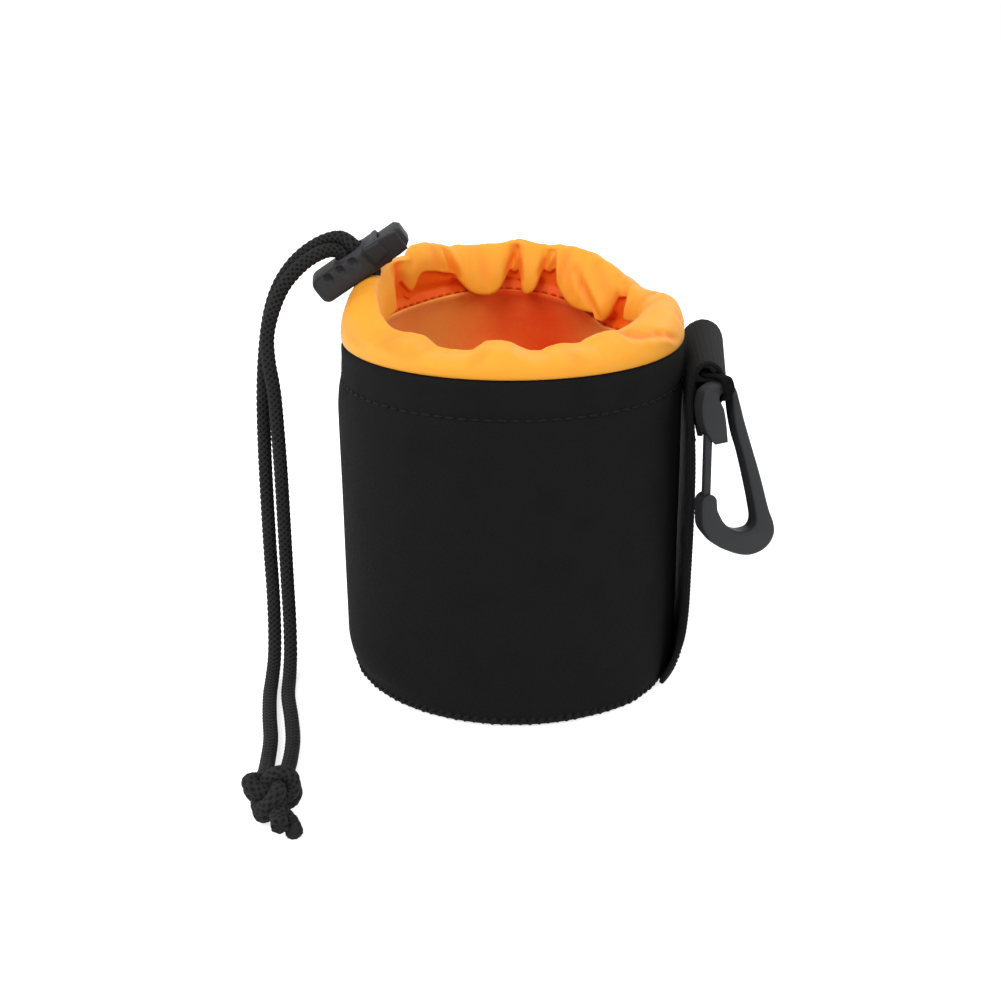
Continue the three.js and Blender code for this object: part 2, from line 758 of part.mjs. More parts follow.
// A flat band along a curve, with a width direction, width and thickness at each stop.
function band(stops, steps) {
  const curve = new THREE.CatmullRomCurve3(stops.map((s) => v3(...s.at)), false, 'centripetal');
  const positions = [];
  const index = [];
  for (let i = 0; i <= steps; i += 1) {
    const f = (i / steps) * (stops.length - 1);
    const k = Math.min(stops.length - 2, Math.floor(f));
    const s = stops[k];
    const e = stops[k + 1];
    const m = f - k;
    const p = curve.getPoint(i / steps);
    const t = curve.getTangent(i / steps);
    const across = v3(...s.across).lerp(v3(...e.across), m);
    across.addScaledVector(t, -across.dot(t)).normalize();
    const up = t.clone().cross(across);
    const w = THREE.MathUtils.lerp(s.wide, e.wide, m) / 2;
    const h = THREE.MathUtils.lerp(s.thick, e.thick, m) / 2;
    for (const [a, b] of [[1, 1], [-1, 1], [-1, -1], [1, -1]]) {
      const q = p.clone().addScaledVector(across, a * w).addScaledVector(up, b * h);
      positions.push(q.x, q.y, q.z);
    }
  }
  for (let i = 0; i < steps; i += 1) {
    for (let j = 0; j < 4; j += 1) {
      const a = 4 * i + j;
      const b = 4 * i + ((j + 1) % 4);
      index.push(a, b, a + 4, b, b + 4, a + 4);
    }
  }
  const last = 4 * steps;
  index.push(0, 2, 1, 0, 3, 2, last, last + 1, last + 2, last, last + 2, last + 3);
  const g = new THREE.BufferGeometry();
  g.setAttribute('position', new THREE.Float32BufferAttribute(positions, 3));
  g.setIndex(index);
  return g;
}

function clipAxes() {
  const turn = deg(CLIP_TURN);
  const h = v3(Math.cos(turn), Math.sin(turn), 0);
  const n = v3(Math.sin(turn), -Math.cos(turn), 0);
  return { h, n };
}

// The hanger tape: out of the roll, over the carabiner's top bar, under it and back in.
function hangerLoop() {
  const { h, n } = clipAxes();
  const eye = v3(...CLIP_CENTRE).addScaledVector(h, EYE_OFFSET);
  const top = CLIP_TOP + SEWN_GAP + TAPE_THICK / 2;
  const low = EYE_TOP - 2 * SEWN_GAP - TAPE_BUNCH_THICK / 2;
  const front = CLIP_THICK / 2 + SEWN_GAP + TAPE_THICK / 2;
  const by = (a, z) => eye.clone().addScaledVector(n, a).add(v3(0, 0, z)).toArray();
  const flat = [1, 0, 0];
  const across = h.toArray();
  const tape = { across: flat, wide: TAPE_WIDE, thick: TAPE_THICK };
  const turnedTape = { across, wide: TAPE_WIDE - 0.4, thick: TAPE_THICK };
  const bunch = { across, wide: TAPE_BUNCH_WIDE, thick: TAPE_BUNCH_THICK };
  const x = eye.x - 3.0;
  const stops = [
    { at: [x, TAPE_START, CLIP_CENTRE[2] + 7.0], ...tape },
    { at: [x, TAPE_START - 7, CLIP_CENTRE[2] + 7.6], ...tape },
    { at: [x, TAPE_START - 12.5, CLIP_CENTRE[2] + 8.6], ...tape },
    { at: by(0, top + 0.1), ...turnedTape },
    { at: by(front - 1.2, top - 0.2), ...turnedTape },
    { at: by(front + 0.1, top - 2.4), ...turnedTape },
    { at: by(front + 0.1, low + 1.8), across, wide: TAPE_BUNCH_WIDE, thick: TAPE_THICK + 0.4 },
    { at: by(front - 1.4, low), ...bunch },
    { at: by(0, low - 0.1), ...bunch },
    { at: by(-front + 0.6, low - 0.2), ...bunch },
    { at: [x + 0.3, TAPE_START - 9, CLIP_CENTRE[2] + 2.8], ...tape },
    { at: [x, TAPE_START, CLIP_CENTRE[2] + 2.8], ...tape },
  ];
  return band(stops, 36);
}

// Carabiner, drawn in its own plane: x toward the spine, y up, about the centre of its top bend.

// The outer edge runs from the nose over the top, down the spine and round the foot to the hinge.
const CLIP_OUTER = [
  [-2.2, -9.1], [-4.4, -6.6], [-6.1, -3.6], [-7.0, -0.2], [-7.2, 3.4], [-6.4, 6.2], [-4.2, 7.7],
  [-1.2, CLIP_TOP], [1.2, 8.0], [3.2, 6.6], [4.9, 2.4], [6.7, -3.0], [9.7, -11.0], [13.5, -21.1],
  [16.9, -31.1], [19.0, -36.1], [19.3, -39.0], [17.9, -41.9], [15.4, -43.7], [11.8, -44.4],
  [8.2, -43.8], [4.0, -42.0], [-0.1, -39.6], [-3.1, -36.4], [-5.1, -33.4], [-5.6, -30.2],
];

// The inner edge runs from the hinge up the spine, round the eye and down the nose.
const CLIP_INNER = [
  [-0.5, -28.6], [0.6, -30.8], [1.9, -32.8], [3.9, -34.7], [7.0, -36.4], [9.6, -36.8], [11.9, -36.2],
  [12.7, -34.4], [11.7, -29.1], [9.5, -21.2], [6.8, -12.5], [5.3, -8.4], [4.5, -4.4], [3.9, -1.0],
  [3.2, 1.8], [2.6, 3.7], [2.1, 4.7], [1.2, EYE_TOP], [-0.8, EYE_TOP], [-1.6, 4.8], [-1.7, 3.9],
  [-1.0, 2.6], [-0.2, 1.2], [0.4, -0.8], [0.9, -3.2], [1.3, -5.6], [1.6, -7.6], [1.8, -8.9],
];

function clipOutline() {
  const [px, py] = GATE_PIVOT;
  const prong = [180, 135, 90, 45, 0].map((angle) => {
    const t = deg(angle);
    return [px + PRONG_RADIUS * Math.cos(t), py + PRONG_RADIUS * Math.sin(t)];
  });
  return [...CLIP_OUTER, ...prong, ...CLIP_INNER].reverse();
}

function gateLine() {
  return Math.atan2(GATE_TIP[1] - GATE_PIVOT[1], GATE_TIP[0] - GATE_PIVOT[0]);
}

// The gate's bar as a plate along its own line, widened by a spare on every side.
function gateBar(spare, thick, extra) {
  const length = Math.hypot(GATE_TIP[0] - GATE_PIVOT[0], GATE_TIP[1] - GATE_PIVOT[1]);
  const half = GATE_BAR / 2 + spare;
  const outline = [
    [0, -half - extra],
    [length + spare, -half - extra],
    [length + spare, half],
    [0, half],
  ];
  const g = plate(outline, thick);
  return g.rotateZ(gateLine()).translate(GATE_PIVOT[0], GATE_PIVOT[1], 0);
}

function carabinerFrame() {
  const [px, py] = GATE_PIVOT;
  let body = solidOf(plate(clipOutline(), CLIP_THICK, CLIP_BEVEL));
  const slot = GATE_THICK + 2 * RUN_GAP;
  body = body.subtract(solidOf(gateBar(TURN_GAP, slot, GATE_SWEEP)));
  body = body.subtract(solidOf(plate(disc(px, py, KNUCKLE_RADIUS + TURN_GAP), slot)));
  body = body.subtract(solidOf(plate(disc(px, py, PIN_RADIUS + PIN_GAP), 20)));
  return geometryOf(body);
}

function carabinerGate() {
  const [px, py] = GATE_PIVOT;
  let body = solidOf(gateBar(0, GATE_THICK, 0));
  body = body.add(solidOf(plate(disc(px, py, KNUCKLE_RADIUS), GATE_THICK)));
  body = body.subtract(solidOf(plate(disc(px, py, PIN_RADIUS + TURN_GAP), 20)));
  return geometryOf(body);
}

function gatePin() {
  return plate(disc(GATE_PIVOT[0], GATE_PIVOT[1], PIN_RADIUS), CLIP_THICK - 0.2);
}

// Assembly

function pouchGroup() {
  const group = new THREE.Group();
  group.name = 'pouch';
  const inner = new THREE.CatmullRomCurve3(innerStrand(), false, 'centripetal');
  const outer = new THREE.CatmullRomCurve3(outerStrand(), false, 'centripetal');
  group.add(part('outer_wall', outerWall(), 'neoprene'));
  group.add(part('base_panel', basePanel(), 'neoprene'));
  group.add(part('base_seam_binding', seamBinding(), 'thread'));
  group.add(part('wall_lining', wallLining(), 'plush'));
  group.add(part('base_lining', baseLining(), 'plush'));
  group.add(part('collar', collar(), 'nylon'));
  group.add(part('drawstring_hoop', drawstringHoop(), 'cord'));
  group.add(part('drawstring_tail_inner', tube(inner, CORD_DIAMETER / 2, 62), 'cord'));
  group.add(part('drawstring_tail_outer', tube(outer, CORD_DIAMETER / 2, 62), 'cord'));
  group.add(part('drawstring_knot', knot(), 'cord'));
  group.add(part('drawstring_end_left', cutEnd(-1), 'cord'));
  group.add(part('drawstring_end_right', cutEnd(1), 'cord'));
  group.add(part('belt_strap', beltStrap(), 'webbing'));
  group.add(part('hanger_loop', hangerLoop(), 'webbing'));
  return group;
}

function lockGroup() {
  const { u, v, w } = lockAxes();
  const group = new THREE.Group();
  group.name = 'cord_lock';
  group.add(part('cord_lock_body', lockBody(), 'lock'));
  group.add(part('cord_lock_button', lockButton(), 'button'));
  group.add(part('cord_lock_spring', lockSpring(), 'steel'));
  group.quaternion.setFromRotationMatrix(new THREE.Matrix4().makeBasis(u, v, w));
  group.position.set(...LOCK_CENTRE);
  return group;
}

function clipGroup() {
  const { h, n } = clipAxes();
  const group = new THREE.Group();
  group.name = 'carabiner';
  group.add(part('carabiner_frame', carabinerFrame(), 'clip'));
  group.add(part('carabiner_gate', carabinerGate(), 'clip'));
  group.add(part('carabiner_gate_pin', gatePin(), 'steel'));
  group.quaternion.setFromRotationMatrix(new THREE.Matrix4().makeBasis(h, v3(0, 0, 1), n));
  group.position.set(...CLIP_CENTRE);
  return group;
}

const lensPouch = new THREE.Group();
lensPouch.name = 'lens_pouch';
lensPouch.add(pouchGroup(), lockGroup(), clipGroup());
lensPouch.updateMatrixWorld(true);

export default lensPouch;
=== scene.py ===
"""Lens pouch: the soft goods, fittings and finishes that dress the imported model, in its own frame."""

import logging
import math
from dataclasses import dataclass
from enum import Enum
from typing import Dict, List, Optional, Sequence, Tuple, Union

import bmesh
import bpy
import numpy as np
from mathutils import Matrix, Vector


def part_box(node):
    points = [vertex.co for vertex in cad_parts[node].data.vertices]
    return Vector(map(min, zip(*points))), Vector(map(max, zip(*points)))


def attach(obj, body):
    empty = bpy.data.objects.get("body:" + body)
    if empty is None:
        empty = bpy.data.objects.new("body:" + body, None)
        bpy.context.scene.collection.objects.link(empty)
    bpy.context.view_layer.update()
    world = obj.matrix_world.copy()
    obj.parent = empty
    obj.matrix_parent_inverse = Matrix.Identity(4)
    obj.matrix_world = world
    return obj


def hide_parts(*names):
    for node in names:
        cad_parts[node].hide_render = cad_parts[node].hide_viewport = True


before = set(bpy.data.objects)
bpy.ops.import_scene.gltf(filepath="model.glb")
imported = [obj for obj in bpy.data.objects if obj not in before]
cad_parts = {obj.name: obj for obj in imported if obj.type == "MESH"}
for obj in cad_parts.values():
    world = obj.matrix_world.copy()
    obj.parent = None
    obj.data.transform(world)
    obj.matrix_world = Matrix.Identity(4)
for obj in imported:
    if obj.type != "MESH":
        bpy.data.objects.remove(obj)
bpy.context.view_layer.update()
LOG = logging.getLogger("lens_pouch")
MM = 0.001
TURN = 2.0 * math.pi
Pair = Tuple[float, float]
Triple = Tuple[float, float, float]
Object = bpy.types.Object
Tree = bpy.types.NodeTree
Socket = bpy.types.NodeSocket


class Body(str, Enum):
    """Rigid bodies of the model that pieces ride on."""

    POUCH = "pouch"
    LOCK = "cord_lock"
    BUTTON = "lock_button"
    CLIP = "carabiner"
    GATE = "gate"


class Weave(Enum):
    """Surface structures that a finish can have."""

    KNIT = "knit"
    PLAIN = "plain"
    PILE = "pile"
    BRAID = "braid"
    RIB = "rib"
    MOULDED = "moulded"
    WIRE = "wire"


@dataclass(frozen=True)
class Finish:
    """One finish: a colour, a second colour for painted shade and random mottle, a surface structure and its
    gloss.
    """

    name: str
    slot: str
    weave: Weave
    colour: Triple
    # Second colour: painted shade leans to it, and so does the dark end of random mottle.
    deep: Triple
    roughness: float
    specular: float = 0.3
    sheen: float = 0.0
    pitch: float = 1.0
    relief: float = 0.1
    mottle: float = 0.2
    glow: float = 0.0
    metal: float = 0.0


# Each finish's second colour is painted shade as well as the dark end of random mottle: the collar's folds
# and valleys, the lining's back, the braid's gaps and the lock's dents are painted darker with it.
NEOPRENE = Finish("neoprene", "neoprene", Weave.KNIT, (0.0105, 0.0105, 0.0112), (0.0045, 0.0045, 0.0048),
                  0.9, 0.04, 0.012, 0.85, 0.05, 0.5)
NYLON = Finish("orange_nylon", "nylon", Weave.PLAIN, (0.93, 0.385, 0.028), (0.95, 0.14, 0.004),
               0.48, 0.22, 0.04, 0.5, 0.03, 0.12, 0.04)
PLUSH = Finish("orange_plush", "plush", Weave.PILE, (0.98, 0.44, 0.09), (0.92, 0.06, 0.006),
               0.95, 0.05, 0.15, 0.5, 0.3, 0.16, 0.1)
BRAID = Finish("black_braid", "cord", Weave.BRAID, (0.031, 0.031, 0.032), (0.0015, 0.0015, 0.0015),
               0.7, 0.05, 0.02, 0.35, 0.03, 0.2)
WEBBING = Finish("black_webbing", "webbing", Weave.RIB, (0.0100, 0.0100, 0.0105), (0.004, 0.004, 0.004),
                 0.75, 0.05, 0.015, 0.7, 0.06, 0.25)
TAPE = Finish("black_tape", "webbing", Weave.RIB, (0.0055, 0.0055, 0.0058), (0.002, 0.002, 0.002),
              0.85, 0.03, 0.0, 0.7, 0.05, 0.25)
THREAD = Finish("black_thread", "thread", Weave.BRAID, (0.012, 0.012, 0.0125), (0.003, 0.003, 0.003),
                0.7, 0.06, 0.01, 0.4, 0.03, 0.2)
ORANGE_THREAD = Finish("orange_thread", "nylon", Weave.BRAID, (0.62, 0.075, 0.008), (0.4, 0.035, 0.004),
                       0.6, 0.15, 0.03, 0.4, 0.03, 0.2)
LOCK = Finish("lock_plastic", "lock", Weave.MOULDED, (0.033, 0.0335, 0.0365), (0.007, 0.007, 0.008),
              0.5, 0.16, 0.0, 0.6, 0.02, 0.2)
BUTTON = Finish("button_plastic", "button", Weave.MOULDED, (0.021, 0.0215, 0.0235), (0.006, 0.006, 0.007),
                0.48, 0.15, 0.0, 0.6, 0.02, 0.2)
CLIP = Finish("clip_plastic", "clip", Weave.MOULDED, (0.025, 0.0255, 0.0275), (0.007, 0.007, 0.008),
              0.46, 0.18, 0.0, 0.6, 0.02, 0.25)
STEEL = Finish("spring_steel", "steel", Weave.WIRE, (0.62, 0.63, 0.65), (0.4, 0.41, 0.43),
               0.3, 0.5, 0.0, 0.4, 0.01, 0.3, 0.0, 1.0)


class FinishShop:
    """Builds the material of each finish once and hands it out."""

    SHEEN_ROUGHNESS = 0.5
    GLOW_RADIUS = (1.0, 0.4, 0.1)
    GLOW_DEPTH = 0.002
    BUMP_STRENGTH = 0.6
    CLOUDS_A_METRE = 90.0
    FUZZ_A_METRE = 1400.0

    def __init__(self) -> None:
        """Start with no materials."""
        self.made: Dict[str, bpy.types.Material] = {}

    def material(self, finish: Finish) -> bpy.types.Material:
        """Give the material of a finish.

        Args:
            finish: the finish to look up or build.

        Returns:
            The material, built on first use.
        """
        if finish.name not in self.made:
            self.made[finish.name] = self.build(finish)
        return self.made[finish.name]

    def build(self, finish: Finish) -> bpy.types.Material:
        """Build one finish as a procedural material.

        Args:
            finish: colours, structure and gloss.

        Returns:
            A new material.
        """
        material = bpy.data.materials.new(finish.name)
        material.use_nodes = True
        tree = material.node_tree
        shader = tree.nodes["Principled BSDF"]
        settings = (
            ("Roughness", finish.roughness), ("Specular IOR Level", finish.specular),
            ("Sheen Weight", finish.sheen), ("Sheen Roughness", self.SHEEN_ROUGHNESS),
            ("Metallic", finish.metal), ("Subsurface Weight", finish.glow),
            ("Subsurface Radius", self.GLOW_RADIUS), ("Subsurface Scale", self.GLOW_DEPTH))
        for label, value in settings:
            shader.inputs[label].default_value = value
        place = tree.nodes.new("ShaderNodeTexCoord").outputs["Object"]
        # The shade attribute holds painted shade: it mixes the colour toward the finish's second colour; the
        # cloud noise adds random mottle.
        shade = tree.nodes.new("ShaderNodeAttribute")
        shade.attribute_name = "shade"
        cloud = self.noise(tree, place, self.CLOUDS_A_METRE, 3.0)
        lift = self.combine(tree, "SUBTRACT", cloud, 0.5)
        lift = self.combine(tree, "MULTIPLY", lift, finish.mottle * 2.0)
        share = self.combine(tree, "ADD", shade.outputs["Fac"], lift)
        mix = tree.nodes.new("ShaderNodeMix")
        mix.data_type = "RGBA"
        mix.inputs["A"].default_value = (*finish.colour, 1.0)
        mix.inputs["B"].default_value = (*finish.deep, 1.0)
        mix.clamp_factor = True
        tree.links.new(share, mix.inputs["Factor"])
        tree.links.new(mix.outputs["Result"], shader.inputs["Base Color"])
        bump = tree.nodes.new("ShaderNodeBump")
        bump.inputs["Strength"].default_value = self.BUMP_STRENGTH
        bump.inputs["Distance"].default_value = finish.relief * MM
        tree.links.new(self.height(tree, finish, place), bump.inputs["Height"])
        tree.links.new(bump.outputs["Normal"], shader.inputs["Normal"])
        return material

    def height(self, tree: Tree, finish: Finish, place: Socket) -> Socket:
        """Make the height pattern of a finish's surface structure.

        Args:
            tree: the material's node tree.
            finish: the finish whose structure is wanted.
            place: object coordinates.

        Returns:
            A height socket, about 0 to 1.
        """
        if finish.weave in (Weave.PILE, Weave.MOULDED, Weave.WIRE):
            fine = self.noise(tree, place, 1000.0 / finish.pitch, 3.0)
            broad = self.noise(tree, place, 160.0 / finish.pitch, 2.0)
            return self.combine(tree, "ADD", fine, broad)
        flat = tree.nodes.new("ShaderNodeUVMap")
        flat.uv_map = "weave"
        apart = tree.nodes.new("ShaderNodeSeparateXYZ")
        tree.links.new(flat.outputs["UV"], apart.inputs["Vector"])
        beat = TURN / finish.pitch
        over = self.wave(tree, apart.outputs["X"], beat)
        along = self.wave(tree, apart.outputs["Y"], beat * (1.0 if finish.weave is Weave.KNIT else 1.2))
        if finish.weave is Weave.RIB:
            thread = self.combine(tree, "MULTIPLY", over, 0.5)
            return self.combine(tree, "ADD", thread, along)
        woven = self.combine(tree, "MULTIPLY", over, along)
        fuzz = self.noise(tree, place, self.FUZZ_A_METRE, 2.0)
        return self.combine(tree, "ADD", woven, fuzz)

    @staticmethod
    def noise(tree: Tree, place: Socket, scale: float, detail: float) -> Socket:
        """Add a noise texture.

        Args:
            tree: the material's node tree.
            place: its coordinates.
            scale: cells a metre.
            detail: octaves.

        Returns:
            The noise's value socket.
        """
        node = tree.nodes.new("ShaderNodeTexNoise")
        node.inputs["Scale"].default_value = scale
        node.inputs["Detail"].default_value = detail
        tree.links.new(place, node.inputs["Vector"])
        return node.outputs["Fac"]

    @staticmethod
    def combine(tree: Tree, kind: str, first: Socket, second: Union[Socket, float]) -> Socket:
        """Add one sum on two values.

        Args:
            tree: the material's node tree.
            kind: the operation's name.
            first: a socket.
            second: a socket or a number.

        Returns:
            The result's socket.
        """
        node = tree.nodes.new("ShaderNodeMath")
        node.operation = kind
        tree.links.new(first, node.inputs[0])
        if isinstance(second, (int, float)):
            node.inputs[1].default_value = float(second)
        else:
            tree.links.new(second, node.inputs[1])
        return node.outputs["Value"]

    def wave(self, tree: Tree, place: Socket, beat: float) -> Socket:
        """Make a sine of a coordinate.

        Args:
            tree: the material's node tree.
            place: the coordinate.
            beat: radians for each unit of it.

        Returns:
            The sine's socket.
        """
        turned = self.combine(tree, "MULTIPLY", place, beat)
        node = tree.nodes.new("ShaderNodeMath")
        node.operation = "SINE"
        tree.links.new(turned, node.inputs[0])
        return node.outputs["Value"]


SHOP = FinishShop()


def dress(piece: Object, finish: Finish, body: Body, nodes: Sequence[str] = ()) -> Object:
    """Give a piece its finish and its body, and hide the nodes of the model that it stands for.

    Args:
        piece: the finished mesh object.
        finish: its finish.
        body: the body it rides on.
        nodes: nodes of the model that it replaces.

    Returns:
        The piece.
    """
    piece.data.materials.clear()
    piece.data.materials.append(SHOP.material(finish))
    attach(piece, body.value)
    if nodes:
        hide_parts(*nodes)
    return piece


def linked(name: str, data: bpy.types.ID) -> Object:
    """Make an object of a mesh, curve, camera or lamp and link it to the scene."""
    piece = bpy.data.objects.new(name, data)
    bpy.context.scene.collection.objects.link(piece)
    return piece


def placing(axes: Sequence, origin: Sequence[float]) -> Matrix:
    """Matrix that turns a thing's own axes to three directions and puts it at a place in metres."""
    out = Matrix.Identity(4)
    for k, axis in enumerate(axes):
        for row in range(3):
            out[row][k] = float(axis[row])
    out.translation = Vector(origin)
    return out


def full_turn(steps: int) -> np.ndarray:
    """Even steps round a full turn, in radians."""
    return np.linspace(0.0, TURN, steps, endpoint=False)


def bell(x: np.ndarray, centre: float, width: float) -> np.ndarray:
    """Bell curve that is one at its centre."""
    return np.exp(-((x - centre) / width) ** 2)


def ramp(x: np.ndarray, start: float, length: float) -> np.ndarray:
    """Straight rise from zero at a start to one at a length from it, downwards for a length below zero."""
    return np.clip((x - start) / length, 0.0, 1.0)


def squarish(angle: np.ndarray, power: float) -> Tuple[np.ndarray, np.ndarray]:
    """Cosine and sine drawn out toward a square by a power below one."""
    c, s = np.cos(angle), np.sin(angle)
    return np.sign(c) * np.abs(c) ** power, np.sign(s) * np.abs(s) ** power


def round_axis(radius: np.ndarray, turn: np.ndarray, z: Union[np.ndarray, float]) -> np.ndarray:
    """Points at a radius and an angle round the upright axis, and at a height."""
    return np.stack(np.broadcast_arrays(radius * np.cos(turn), radius * np.sin(turn), z), axis=-1)


def run_along(line: np.ndarray) -> np.ndarray:
    """Distance from a line's start at each of its points."""
    return np.concatenate([[0.0], np.cumsum(np.linalg.norm(np.diff(line, axis=0), axis=1))])


def run_round(ring: np.ndarray) -> np.ndarray:
    """Distance round a closed ring at each of its points and back at its start."""
    return run_along(np.concatenate([ring, ring[:1]]))


def sampled(want: np.ndarray, at: np.ndarray, table: np.ndarray) -> np.ndarray:
    """Read a table's columns between its rows.

    Args:
        want: places to read at.
        at: place of each row.
        table: rows of values.

    Returns:
        One row for each wanted place.
    """
    return np.stack([np.interp(want, at, column) for column in table.T], axis=1)


def spline(stops: Sequence, closed: bool = False, per: int = 10) -> np.ndarray:
    """Draw a centripetal Catmull-Rom line through stops.

    Args:
        stops: points, or rows of points, in order.
        closed: whether the line joins its own start.
        per: points made for each stop.

    Returns:
        The points of the line.
    """
    p = np.asarray(stops, float)
    if closed:
        ext = np.concatenate([p[-1:], p, p[:2]])
    else:
        ext = np.concatenate([2 * p[:1] - p[1:2], p, 2 * p[-1:] - p[-2:-1]])
    t = np.linspace(0.0, 1.0, per, endpoint=False).reshape((-1,) + (1,) * (p.ndim - 1))
    out = []
    for k in range(1, len(ext) - 2):
        p0, p1, p2, p3 = ext[k - 1], ext[k], ext[k + 1], ext[k + 2]
        d0, d1, d2 = (np.maximum(np.linalg.norm(b - a, axis=-1, keepdims=True) ** 0.5, 1e-4)
                      for a, b in ((p0, p1), (p1, p2), (p2, p3)))
        m1 = ((p1 - p0) / d0 - (p2 - p0) / (d0 + d1) + (p2 - p1) / d1) * d1
        m2 = ((p2 - p1) / d1 - (p3 - p1) / (d1 + d2) + (p3 - p2) / d2) * d1
        out.append(p1 + t * (m1 + t * (3 * (p2 - p1) - 2 * m1 - m2 + t * (2 * (p1 - p2) + m1 + m2))))
    if not closed:
        out.append(p[-1:])
    return np.concatenate(out)


def even(line: np.ndarray, step: float) -> np.ndarray:
    """Space a line's points evenly.

    Args:
        line: points of the line.
        step: wanted distance between them.

    Returns:
        The evenly spaced points.
    """
    run = run_along(line)
    want = np.linspace(0.0, run[-1], max(2, int(round(run[-1] / step)) + 1))
    return sampled(want, run, line)


def unit(rows: np.ndarray) -> np.ndarray:
    """Vectors brought to length one."""
    return rows / np.maximum(np.linalg.norm(rows, axis=-1, keepdims=True), 1e-9)


def carried_frame(line: np.ndarray) -> Tuple[np.ndarray, np.ndarray, np.ndarray]:
    """Carry a cross frame along a line without twist.

    Args:
        line: points of the line.

    Returns:
        Tangents and two cross directions at each point.
    """
    tangent = unit(np.gradient(line, axis=0))
    side = np.zeros_like(tangent)
    start = np.array([0.0, 0.0, 1.0]) if abs(tangent[0, 2]) < 0.9 else np.array([1.0, 0.0, 0.0])
    side[0] = unit(np.cross(tangent[0], start))
    for k in range(1, len(line)):
        flat = side[k - 1] - tangent[k] * side[k - 1].dot(tangent[k])
        side[k] = unit(flat)
    return tangent, side, np.cross(tangent, side)


def face_outward(mesh: bpy.types.Mesh, weld: float = 0.0) -> None:
    """Turn a mesh's faces outward.

    Args:
        mesh: the mesh.
        weld: distance in metres under which points are joined first.
    """
    work = bmesh.new()
    work.from_mesh(mesh)
    if weld:
        bmesh.ops.remove_doubles(work, verts=work.verts, dist=weld)
    bmesh.ops.recalc_face_normals(work, faces=work.faces)
    work.to_mesh(mesh)
    work.free()


def new_piece(name: str, verts: np.ndarray, faces: List, uvs: np.ndarray,
              shade: Optional[np.ndarray] = None) -> Object:
    """Make a mesh object from points in millimetres.

    Args:
        name: the object's name.
        verts: its points.
        faces: its faces, as lists of point numbers.
        uvs: one flat coordinate for each face corner, in millimetres.
        shade: share of the painted shade colour at each point.

    Returns:
        The new object, linked to the scene.
    """
    mesh = bpy.data.meshes.new(name)
    mesh.from_pydata((np.asarray(verts) * MM).tolist(), [], faces)
    layer = mesh.uv_layers.new(name="weave")
    layer.data.foreach_set("uv", np.asarray(uvs, np.float32).ravel())
    if shade is not None:
        mark = mesh.attributes.new("shade", "FLOAT", "POINT")
        mark.data.foreach_set("value", np.asarray(shade, np.float32).ravel())
    face_outward(mesh)
    mesh.shade_smooth()
    return linked(name, mesh)


def woven_grid(name: str, rows: np.ndarray, wrap: Tuple[bool, bool], flat: Tuple[np.ndarray, np.ndarray],
               shade: Optional[np.ndarray] = None, ends: bool = False) -> Object:
    """Make a closed piece from a grid of points.

    Args:
        name: the object's name.
        rows: points, first along and then around.
        wrap: whether each direction closes on itself.
        flat: flat coordinates along and around, with one more value in a direction that closes.
        shade: share of the painted shade colour at each point.
        ends: whether to close the first and last row with a fan.

    Returns:
        The new object.
    """
    nu, nv = rows.shape[:2]
    verts = rows.reshape(-1, 3)
    faces: List[List[int]] = []
    uvs: List[Pair] = []
    us, vs = flat
    for i in range(nu if wrap[0] else nu - 1):
        a = (i + 1) % nu
        for j in range(nv if wrap[1] else nv - 1):
            b = (j + 1) % nv
            faces.append([i * nv + j, a * nv + j, a * nv + b, i * nv + b])
            uvs += [(us[i], vs[j]), (us[i + 1], vs[j]), (us[i + 1], vs[j + 1]), (us[i], vs[j + 1])]
    marks = None if shade is None else shade.ravel()
    if ends:
        for i, at in ((0, us[0]), (nu - 1, us[-1])):
            verts = np.concatenate([verts, rows[i].mean(axis=0, keepdims=True)])
            if marks is not None:
                marks = np.append(marks, shade[i].mean())
            hub = len(verts) - 1
            for j in range(nv):
                b = (j + 1) % nv
                faces.append([i * nv + j, i * nv + b, hub])
                uvs += [(at, vs[j]), (at, vs[j + 1]), (at, vs[j])]
    return new_piece(name, verts, faces, np.array(uvs), marks)


def turned_piece(name: str, profile: np.ndarray, steps: int, lift: Union[np.ndarray, float] = 0.0) -> Object:
    """Turn a closed outline round the upright axis.

    Args:
        name: the object's name.
        profile: radius and height of each point of the outline.
        steps: points around.
        lift: extra radius at each step and outline point.

    Returns:
        The new object.
    """
    rows = round_axis(profile[None, :, 0] + lift, full_turn(steps)[:, None], profile[None, :, 1])
    around = np.linspace(0.0, TURN * profile[:, 0].max(), steps + 1)
    return woven_grid(name, rows, (True, True), (around, run_round(profile)))


BRAID_DEPTH = 0.32


def tube_piece(name: str, line: np.ndarray, radius: np.ndarray, relief: np.ndarray,
               round_ends: bool = True) -> Object:
    """Sweep a round braided section along a line.

    Args:
        name: the object's name.
        line: centre points.
        radius: radius at each point.
        relief: height of the braid at each point and side, 0 to 1.
        round_ends: whether the ends are domed.

    Returns:
        The new object.
    """
    tangent, side, up = carried_frame(line)
    sides = relief.shape[1]
    angle = full_turn(sides)
    spread = side[:, None] * np.cos(angle)[None, :, None] + up[:, None] * np.sin(angle)[None, :, None]
    grown = radius[:, None] + BRAID_DEPTH * (relief - 1.0)
    # Painted shade: the gaps between the strands are darkened in colour by how low they lie.
    shade = np.clip(1.0 - 1.15 * relief, 0.0, 1.0)
    rows = line[:, None] + spread * grown[..., None]
    if round_ends:
        dome = [(math.sin(a), math.cos(a)) for a in (0.5, 1.0, 1.35)]
        r0, r1 = float(radius[0]), float(radius[-1])
        front = [line[0] - tangent[0] * r0 * s + spread[0] * r0 * c for s, c in reversed(dome)]
        back = [line[-1] + tangent[-1] * r1 * s + spread[-1] * r1 * c for s, c in dome]
        rows = np.concatenate([front, rows, back])
        shade = np.pad(shade, ((len(dome), len(dome)), (0, 0)), mode="edge")
    run = run_along(rows.mean(axis=1))
    around = np.linspace(0.0, TURN * float(np.mean(radius)), sides + 1)
    return woven_grid(name, rows, (False, True), (run, around), shade, ends=True)


